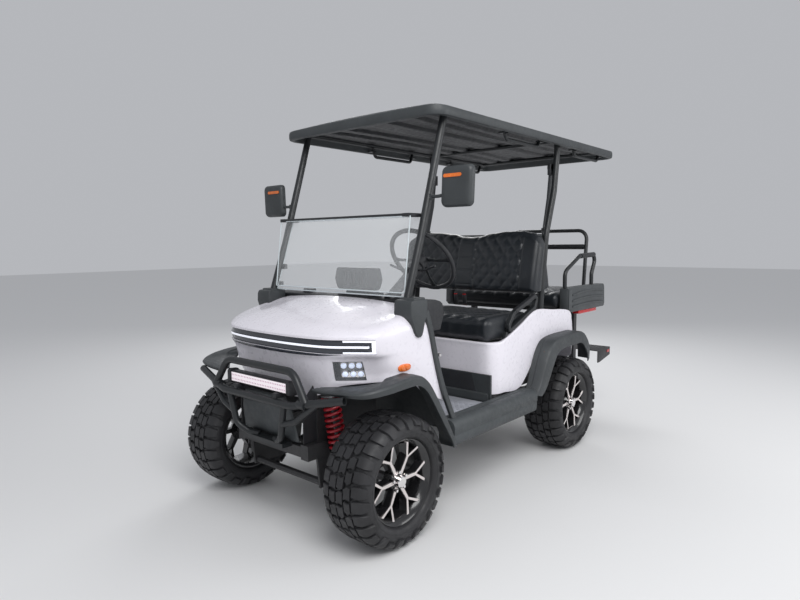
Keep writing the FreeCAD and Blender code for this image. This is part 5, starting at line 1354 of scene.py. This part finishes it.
def make_dash():
    """Dash shelf, the display head on its pedestal, two cubby pods, a grab handle and switches."""
    shelf = prism(behind(FRONT, [
        (304.5, 905.5), (263, 1050), (300, 1059), (330, 1060.5), (372, 1056), (410, 1046), (428, 1034),
        (436, 1010), (437, 976), (428, 950), (410, 905.5),
    ]), "x", -535, 535)
    made = piece("dash_shelf_skin", *shelf, DASH, slot="dash_black", smooth=30)
    bevelled(made, 6, 3, 50)
    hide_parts("dashboard")

    def upright(half_outline, y0, y1):
        """A form that is the same on both sides: (x, z) up its right half, run back from y0 to y1."""
        left = [(-x, z) for x, z in reversed(half_outline)]
        return prism(left[-1:] + half_outline + left[:-1], "y", FRONT + y0, FRONT + y1)

    parts = [
        upright([(134, 1081), (148, 1094), (163, 1136), (162, 1142), (150, 1190), (140, 1199)], 365, 403),
        upright([(94, 1045), (84, 1070), (74, 1090)], 373, 417),
    ]
    for x in (-330, 190):
        pod = [(x - 32, 1046), (x + 32, 1046), (x + 28, 1077), (x - 28, 1077)]
        parts.append(prism(pod, "y", FRONT + 302, FRONT + 350))
        parts.append(block((x - 24, FRONT + 296, 1056), (x + 24, FRONT + 304, 1070)))
    made = piece("display_case", *combined(parts), DASH, slot="dash_black", smooth=30)
    bevelled(made, 4, 3, 40)
    screen = upright([(124, 1094), (146, 1138), (134, 1187)], 403, 404)
    piece("display_screen", *screen, BAND, slot="dash_black")
    fins = [block((x - 1.5, FRONT + 361, 1100), (x + 1.5, FRONT + 366, 1178)) for x in range(-90, 91, 20)]
    piece("display_fins", *combined(fins), TRIM, slot="dash_black")
    handle = [(-460, 425, 985), (-460, 440, 985), (-250, 440, 985), (-250, 425, 985)]
    piece("passenger_handle", *pipe(behind(FRONT, handle), 9, 10), TUBE, slot="dash_black")
    knob = [(0, 0), (0, 13), (5, 15), (9, 13), (9, 0)]
    silver = [turned_round(knob, 24, (60 + 55 * k, FRONT + 431, 992), "y") for k in range(3)]
    silver.append(prism([(120, 1046), (150, 1046), (146, 1052), (124, 1052)], "y", FRONT + 310, FRONT + 352))
    piece("dash_switches", *combined(silver), CHROME, slot="dash_black")


def make_floor_mat():
    """Marked mat in the footwell, and the dark panel and ledge across the pod's front."""
    top = 455.2
    marks = []
    for row in range(15):
        y = FRONT + 436 + row * 21
        if y > POD - 50:
            break
        for column in range(30):
            x = -520 + column * 36 + (18 if row % 2 else 0)
            if x + 24 < 530:
                mark = [(0, 0), (24, 0), (26, 4), (24, 8), (0, 8), (-2, 4)]
                marks.append(prism([(x + u, y + v) for u, v in mark], "z", top + 3, top + 5))
    mat = block((-535, FRONT + 420, top), (535, POD - 34, top + 3))
    made = piece("floor_mat", *mat, MAT, slot="floor_mat")
    bevelled(made, 1, 1, 40)
    piece("floor_mat_marks", *combined(marks), MAT, slot="floor_mat")
    ledge = behind(POD, [(-26, 458), (-26, 500), (-16, 506), (-14.6, 506), (-14.6, 458)])
    made = piece("kick_ledge", *prism(ledge, "x", -540, 540), TRIM, slot="black_trim")
    bevelled(made, 2, 2, 40)
    outline = [(-440, 480), (440, 480), (462, 500), (430, 606), (-430, 606), (-462, 500)]
    made = piece("kick_panel", *prism(outline, "y", POD - 14.5, POD - 1.0), DASH, slot="black_trim")
    bevelled(made, 4, 2, 40)


def make_rockers():
    """Side steps: a grooved tread on top and a sloped outer face with one long groove."""
    start, end = FRONT + 372, REAR - 510.5
    profile = [
        (551.5, 474), (557, 478), (566, 478), (567, 475.5), (572, 475.5), (573, 478), (586, 478),
        (587, 475.5), (592, 475.5), (593, 478), (616, 478), (630, 474), (640, 466), (647, 452),
        (649.5, 442), (648, 412), (645, 408), (645, 400), (647, 396), (643, 362), (638, 353), (630, 350),
        (552, 350),
    ]
    form = both(prism(profile, "y", start, end))
    made = piece("rocker_covers", *form, ROCKER, slot="dark_rocker", smooth=30)
    bevelled(made, 2, 2, 60)
    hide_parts("rockers")


# Backrests, belts and arm loops


def back_height(x, wide, top):
    """The backrest's upper edge: a peak for each sitter and a dip between them."""
    # share of half the width, height from the top
    table = [
        (0.0, -34), (0.12, -30), (0.3, -12), (0.5, -1), (0.72, 0), (0.87, -13), (0.943, -36), (0.985, -74),
        (1.0, -110),
    ]
    u = min(1.0, abs(x) / wide)
    for (a, low), (b, high) in zip(table, table[1:]):
        if u <= b:
            t = (u - a) / (b - a)
            return top + between(low, high, t * t * (3 - 2 * t) if a < 0.5 else t)
    return top - 120


def backrest(name, node, wide, bottom, top, front_line, rear_line, quilted_side):
    """A closed cushion between two curved faces, with sewn channels on one of them (-1 front, 1 rear).

    front_line and rear_line give each face's place behind the rear axle, evenly up from the bottom."""
    columns, rows = 150, 84
    front_line, rear_line = [[REAR + f for f in line] for line in (front_line, rear_line)]

    def place(u, v, side):
        """A place on a face, at u across from -1 to 1 and v up from 0 to 1."""
        x = u * wide
        high = back_height(x, wide, top) - 1.5
        low = bottom + 3 + 16 * max(0.0, (abs(u) - 0.9) / 0.1) ** 2
        z = between(low, high, v)
        t = (z - bottom) / (top - bottom)
        y0, y1 = (curve_at(line, t * (len(line) - 1)) for line in (front_line, rear_line))
        middle, deep = (y0 + y1) / 2, (y1 - y0) / 2
        rim = min(1.0, (1 - abs(u)) * wide / 44, min(v, 1 - v) * (high - low) / 40)
        round_off = math.sqrt(max(0.0, 1 - (1 - rim) ** 2))
        out = deep * (0.12 + 0.88 * round_off)
        if side != quilted_side:
            return Vector((x, middle + side * (out - 1.0), z))
        up = z - bottom
        seam = 0.0
        for at in (66.0, wide - 118):
            seam += 4.5 * math.exp(-((abs(x) - at) / 8.0) ** 2)
        if 66 < abs(x) < wide - 118 and v > 0.06:
            seam += -quilt(x, up * SQUEEZE, DIAMOND, 9.0)
        elif abs(x) <= 66:
            seam += 3.0 * math.exp(-((up % 92 - 46) / 4.0) ** 2)
        return Vector((x, middle + side * (out - seam * round_off), z))

    faces, points = [], []
    for side in (-1, 1):
        start = len(points)
        for m in range(rows + 1):
            v = 0.5 - 0.5 * math.cos(math.pi * m / rows)
            for k in range(columns + 1):
                u = 0.35 * -math.cos(math.pi * k / columns) + 0.65 * (2 * k / columns - 1)
                points.append(place(u, v, side))
        faces += grid_faces(rows + 1, columns + 1, start)
    # a strip round the edge joins both faces
    wide_row = columns + 1
    n = (rows + 1) * wide_row
    ring = [*range(wide_row), *(m * wide_row + columns for m in range(1, rows + 1))]
    ring += [rows * wide_row + k for k in range(columns - 1, -1, -1)]
    ring += [m * wide_row for m in range(rows - 1, 0, -1)]
    faces += [(a, b, n + b, n + a) for a, b in zip(ring, ring[1:] + ring[:1])]
    made = piece(name, points, faces, LEATHER, slot="black_seat", smooth=60)
    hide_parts(node)


def make_backrests():
    """Both backrests, the shell between them and its side knobs."""
    backrest(
        "front_back_pad", "front_backrest", 530, 1010, 1400,
        (-345, -334, -314, -291, -262), (-222, -209, -196, -183, -171), -1,
    )
    backrest(
        "rear_back_pad", "rear_backrest", 450, 1010, 1380,
        (-170, -160, -149, -138, -127), (56, 32, 3, -26, -54), 1,
    )
    outline = [(-220.5, 1010.5), (-172.8, 1010.5), (-127.8, 1379), (-166, 1379)]
    made = piece("seat_shell_skin", *prism(behind(REAR, outline), "x", -479, 479), TRIM, slot="black_trim")
    bevelled(made, 4, 2, 40)
    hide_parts("seat_back_shell")
    profile = [(478, 0), (478, 16), (484, 19), (494, 19), (498, 14), (498, 0)]
    knob = turned_round(profile, 24, (0, REAR - 214, 1052))
    piece("seat_knobs", *both(knob), GREY, slot="black_trim")


def make_belts():
    """Lap belts: reels on the rear pillars, webbing down beside the backrest, buckles at the cushion."""
    webs = []
    for line, bend in (
        ([(468, -34, 1792), (468, -62, 1600), (470, -112, 1420), (472, -150, 1300)], 80),
        ([(472, -150, 1300), (474, -232, 1180), (474, -262, 1040), (472, -300, 940)], 60),
    ):
        webs.append(flat_swept(behind(REAR, line), 46, 2.6, bend, across=Vector((0, 1, 0)), rounding=1.2))
    hard = [block((458, REAR - 62, 1752), (480, REAR - 4, 1822))]
    reel = [(454, 0), (454, 24), (460, 27), (476, 27), (480, 24), (480, 0)]
    hard.append(turned_round(reel, 28, (0, REAR - 34, 1800)))
    hard.append(block((462, REAR - 142, 1398), (478, REAR - 88, 1416)))
    hard.append(block((464, REAR - 138, 1352), (476, REAR - 106, 1388)))
    piece("belt_webs", *both(combined(webs)), LEATHER, slot="black_seat")
    made = piece("belt_reels", *both(combined(hard)), DASH, slot="black_trim")
    bevelled(made, 3, 2, 40)
    cases, buttons = [], []
    for x in (-50, 20):
        turn = Matrix.Rotation(math.radians(8), 3, "X")
        middle = Vector((x, REAR - 346, 966))
        cases.append(block(middle - Vector((13, 8, 36)), middle + Vector((13, 8, 22)), turn, middle))
        buttons.append(block(middle + Vector((-10, -6, 22)), middle + Vector((10, 6, 27)), turn, middle))
    made = piece("belt_buckles", *combined(cases), DASH, body="front_seat_base", slot="black_trim")
    bevelled(made, 3, 2, 40)
    piece("belt_buttons", *combined(buttons), RED, body="front_seat_base", slot="lamp_red")


def make_armrests():
    """Flat loops beside the front bench, closed along the pod, and bent tube hoops at the rear seat."""
    x, hoop_x = 540, 474.5
    # each flat bar's line, width, thickness and bend
    parts = [
        flat_swept(behind(REAR, line), wide, thick, bend)
        for line, wide, thick, bend in (
            (
                [
                    (x, -540, 872), (x, -703, 808), (x, -618, 922), (x, -338, 1014), (x, -368, 938),
                    (x, -540, 872)
                ],
                28, 22, 34
            ),
            ([(x, -708, 779), (x, -690, 822)], 26, 18, 10), ([(x, -376, 779), (x, -370, 932)], 26, 18, 10),
        )
    ]
    pad = flat_swept(behind(REAR, [(x, -596, 931), (x, -366, 1007)]), 30, 25, 10, rounding=7)
    hoop = [(180, 1020.5), (180, 1130), (400, 1228), (690, 1238), (610, 1100), (610, 1020.5)]
    parts.append(pipe([(hoop_x, y, z) for y, z in behind(REAR, hoop)], 14, 60))
    made = piece("armrest_bars", *both(combined(parts)), TUBE, slot="black_tube", smooth=40)
    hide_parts("armrests")
    grip = pipe(behind(REAR, [(hoop_x, 420, 1228.8), (hoop_x, 640, 1236)]), 17.5)
    piece("armrest_pads", *both(combined([pad, grip])), DASH, slot="black_tube", smooth=40)


def make_side_covers():
    """Covers beside the rear seat, with three long ribs and a post."""
    form = behind(REAR, [
        (166, 882), (172, 866), (192, 851), (768, 851), (782, 858), (789, 876), (781, 992), (772, 1012),
        (756, 1019), (182, 1019), (170, 1012), (166, 996),
    ])
    parts = [prism(form, "x", 446.5, 503)]
    x = 506.5
    for k, z in enumerate((884, 924, 964)):
        rib = [
            (x - 0.3, 240, z + 2), (x, 380, z + 10 + 3 * k), (x, 560, z + 12 + 4 * k),
            (x - 0.3, 758, z + 4 + 2 * k),
        ]
        line = curve(behind(REAR, rib), 6)
        parts.append(flat_swept(line, 10, 9, 1, across=Vector((0, 0, 1)), rounding=3.5))
    post = behind(REAR, [(170, 872), (220, 872), (216, 1008), (174, 1008)])
    parts.append(prism(post, "x", 500, 512))
    made = piece("side_cover_skins", *both(combined(parts)), GREY, slot="grey_cover", smooth=30)
    bevelled(made, 3, 2, 45)
    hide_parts("rear_side_covers")


def make_grab_rail():
    """The rail behind the rear seat, with a padded bar across."""
    half, base = 330, REAR + 800.3
    side = [(base, 790), (base, 960), (base + 50, 1415)]
    line = [(-half, y, z) for y, z in side] + [(half, y, z) for y, z in reversed(side)]
    ends = [(half - 12, 0), (half - 12, 17), (half - 22, 20)]
    pad = [(-x, r) for x, r in ends] + ends[::-1]
    form = combined([pipe(line, 14, 70), turned_round(pad, 28, (0, base + 37, 1290))])
    made = piece("grab_rail_tubes", *form, TUBE, slot="black_tube", smooth=40)
    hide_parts("grab_rail")


def make_rear_step():
    """Foot step: a plate with side cheeks and a deep rear edge, under a raised tread. Gives its rear end."""
    low, end = REAR + 751, REAR + 979
    cheek = [(low, 416), (low + 30, 416), (end, 450), (end, 509), (low, 509)]
    step = [
        block((-479, low, 504), (479, end, 509)),
        prism(cheek, "x", -479.5, -473),
        prism(cheek, "x", 473, 479.5),
        block((-479, end - 6, 461), (479, end, 509)),
    ]
    made = piece("rear_step_plate", *combined(step), CHASSIS, slot="frame_steel", smooth=30)
    bevelled(made, 1.5, 2, 45)
    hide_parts("rear_step")
    marks = []
    for row in range(8):
        for column in range(34):
            x, y = -462 + column * 28, low + 18 + row * 27
            turn = Matrix.Rotation(math.radians(45 if (row + column) % 2 else -45), 3, "Z")
            marks.append(block((x - 8, y - 2, 509), (x + 8, y + 2, 510.3), turn))
    piece("rear_step_tread", *combined(marks), CHASSIS, slot="frame_steel")
    return end


def make_tail_lamps(step_end):
    """Red lamps with upright ribs, and the reflectors round the step."""
    low, high = (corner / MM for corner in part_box("tail_lamps"))
    outline = [
        (low.y, low.z + 6), (low.y + 14, low.z), (high.y - 4, low.z), (high.y, low.z + 5), (high.y, high.z),
        (low.y, high.z),
    ]
    lamps = [prism(outline, "x", x0, x1) for x0, x1 in ((low.x, low.x + 46), (high.x - 46, high.x))]
    made = piece("tail_lamp_lenses", *combined(lamps), RED, slot="lamp_red", smooth=30)
    bevelled(made, 3, 3, 40)
    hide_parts("tail_lamps")
    ribs = []
    for k in range(12):
        y = between(low.y + 20, high.y - 20, k / 11)
        for x in (high.x - 0.6, low.x - 0.6):
            ribs.append(block((x, y - 1.5, low.z + 5), (x + 1.2, y + 1.5, high.z - 5)))
    piece("tail_lamp_ribs", *combined(ribs), RED, slot="lamp_red")
    red = [block((x - 42, step_end - 1, 474), (x + 42, step_end + 4, 496)) for x in (-400, 400)]
    red += [block((x, step_end - 60, 474), (x + 3, step_end - 16, 494)) for x in (-482, 479)]
    piece("step_reflectors", *combined(red), RED, slot="lamp_red")


def make_rear_end():
    """Side covers, grab rail, step and tail lamps behind the rear seat."""
    make_side_covers()
    make_grab_rail()
    make_tail_lamps(make_rear_step())


def make_motor_jacket():
    """Cooling fins round the drive motor and a cap on its end."""
    low, high = (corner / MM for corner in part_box("drive_motor"))
    size, middle = high - low, (low + high) / 2
    axis = max("xyz", key=lambda one: getattr(size, one))
    start, end = getattr(low, axis), getattr(high, axis)
    radius = min(size) / 2
    profile = [(start + 30, radius - 2)]
    for k in range(11):
        at = between(start + 34, end - 40, k / 10)
        profile += [(at, radius - 1), (at + 1, radius + 4), (at + 5, radius + 4), (at + 6, radius - 1)]
    profile.append((end - 28, radius - 2))
    place = Vector([0 if one == axis else getattr(middle, one) for one in "xyz"])
    piece("motor_fins", *turned_round(profile, 48, place, axis), STEEL, slot="motor_metal", smooth=30)


def dress_frame(loaded):
    """Worn paint, cast metal and moulded plastic on the frame's own pieces, with their edges broken."""
    kinds = {
        CHASSIS: ["chassis_frame", "front_subframe", "leaf_springs", "tie_rod"],
        STEEL: ["knuckle_left", "knuckle_right", "rear_axle", "drive_motor"],
        DASH: ["steering_column", "pedals", "battery_pack"],
        TRIM: ["floor_pan", "rear_deck"],
    }
    for material, names in kinds.items():
        for name in names:
            made = loaded["nodes"].get(name)
            if made is None:
                continue
            made.data.materials.clear()
            made.data.materials.append(material)
            bevel = made.modifiers.new("worn_edges", "BEVEL")
            bevel.width = 1.6 * MM
            bevel.segments = 2
            bevel.limit_method = "ANGLE"
            bevel.angle_limit = math.radians(40)


for make in (
    make_wheels, make_cowl, make_pod, make_flares, make_roof, make_seats, make_band, make_headlamps,
    make_markers, make_side_strips, make_bull_bar, make_light_bar, make_canopy_frame,
    make_pillar_feet, make_windshield, make_mirrors, make_suspension, make_steering_wheel,
    make_dash, make_floor_mat, make_rockers, make_backrests, make_belts, make_armrests,
    make_rear_end, make_motor_jacket,
):
    make()
dress_frame(frame)


def make_camera():
    """The camera at the photograph's angle."""
    data = bpy.data.cameras.new("camera")
    data.sensor_width = 36.0
    data.lens = CAMERA_LENS
    camera = bpy.data.objects.new("camera", data)
    bpy.context.scene.collection.objects.link(camera)
    turn = Matrix.Rotation(CAMERA_AZIMUTH, 4, "Z") @ Matrix.Rotation(math.pi / 2 + CAMERA_PITCH, 4, "X")
    camera.matrix_world = Matrix.Translation(CAMERA_PLACE) @ turn @ Matrix.Rotation(CAMERA_ROLL, 4, "Z")
    bpy.context.scene.camera = camera


def area_lamp(name, place, target, size, power):
    """A soft lamp at a place, looking at a target, so many metres wide and high."""
    data = bpy.data.lights.new(name, "AREA")
    data.energy = power
    data.shape = "RECTANGLE"
    data.size, data.size_y = size
    lamp = bpy.data.objects.new(name, data)
    bpy.context.scene.collection.objects.link(lamp)
    lamp.location = place
    lamp.rotation_euler = (Vector(target) - Vector(place)).to_track_quat("-Z", "Y").to_euler()


def make_lights():
    """Three soft lamps and a pale world."""
    area_lamp("key", (3.2, -2.6, 4.2), (0.0, 0.0, 0.8), (3.0, 3.0), 154)
    area_lamp("side", (4.5, 1.8, 2.4), (0.0, 0.2, 0.8), (3.0, 2.0), 54)
    area_lamp("rear", (-3.0, 3.5, 3.2), (0.0, 0.0, 1.0), (3.0, 2.0), 80)
    world = bpy.data.worlds.new("world")
    bpy.context.scene.world = world
    world.use_nodes = True
    background = world.node_tree.nodes["Background"]
    background.inputs[0].default_value = (0.93, 0.95, 1.0, 1)
    background.inputs[1].default_value = 0.5
    bpy.context.scene.view_settings.view_transform = "Standard"


def make_floor():
    """A plain floor that reaches well past the picture."""
    half = 30
    mesh = bpy.data.meshes.new("floor")
    corners = [(-half, -half, 0), (half, -half, 0), (half, half, 0), (-half, half, 0)]
    mesh.from_pydata(corners, [], [(0, 1, 2, 3)])
    floor = bpy.data.objects.new("floor", mesh)
    bpy.context.scene.collection.objects.link(floor)


make_camera()
make_lights()
make_floor()
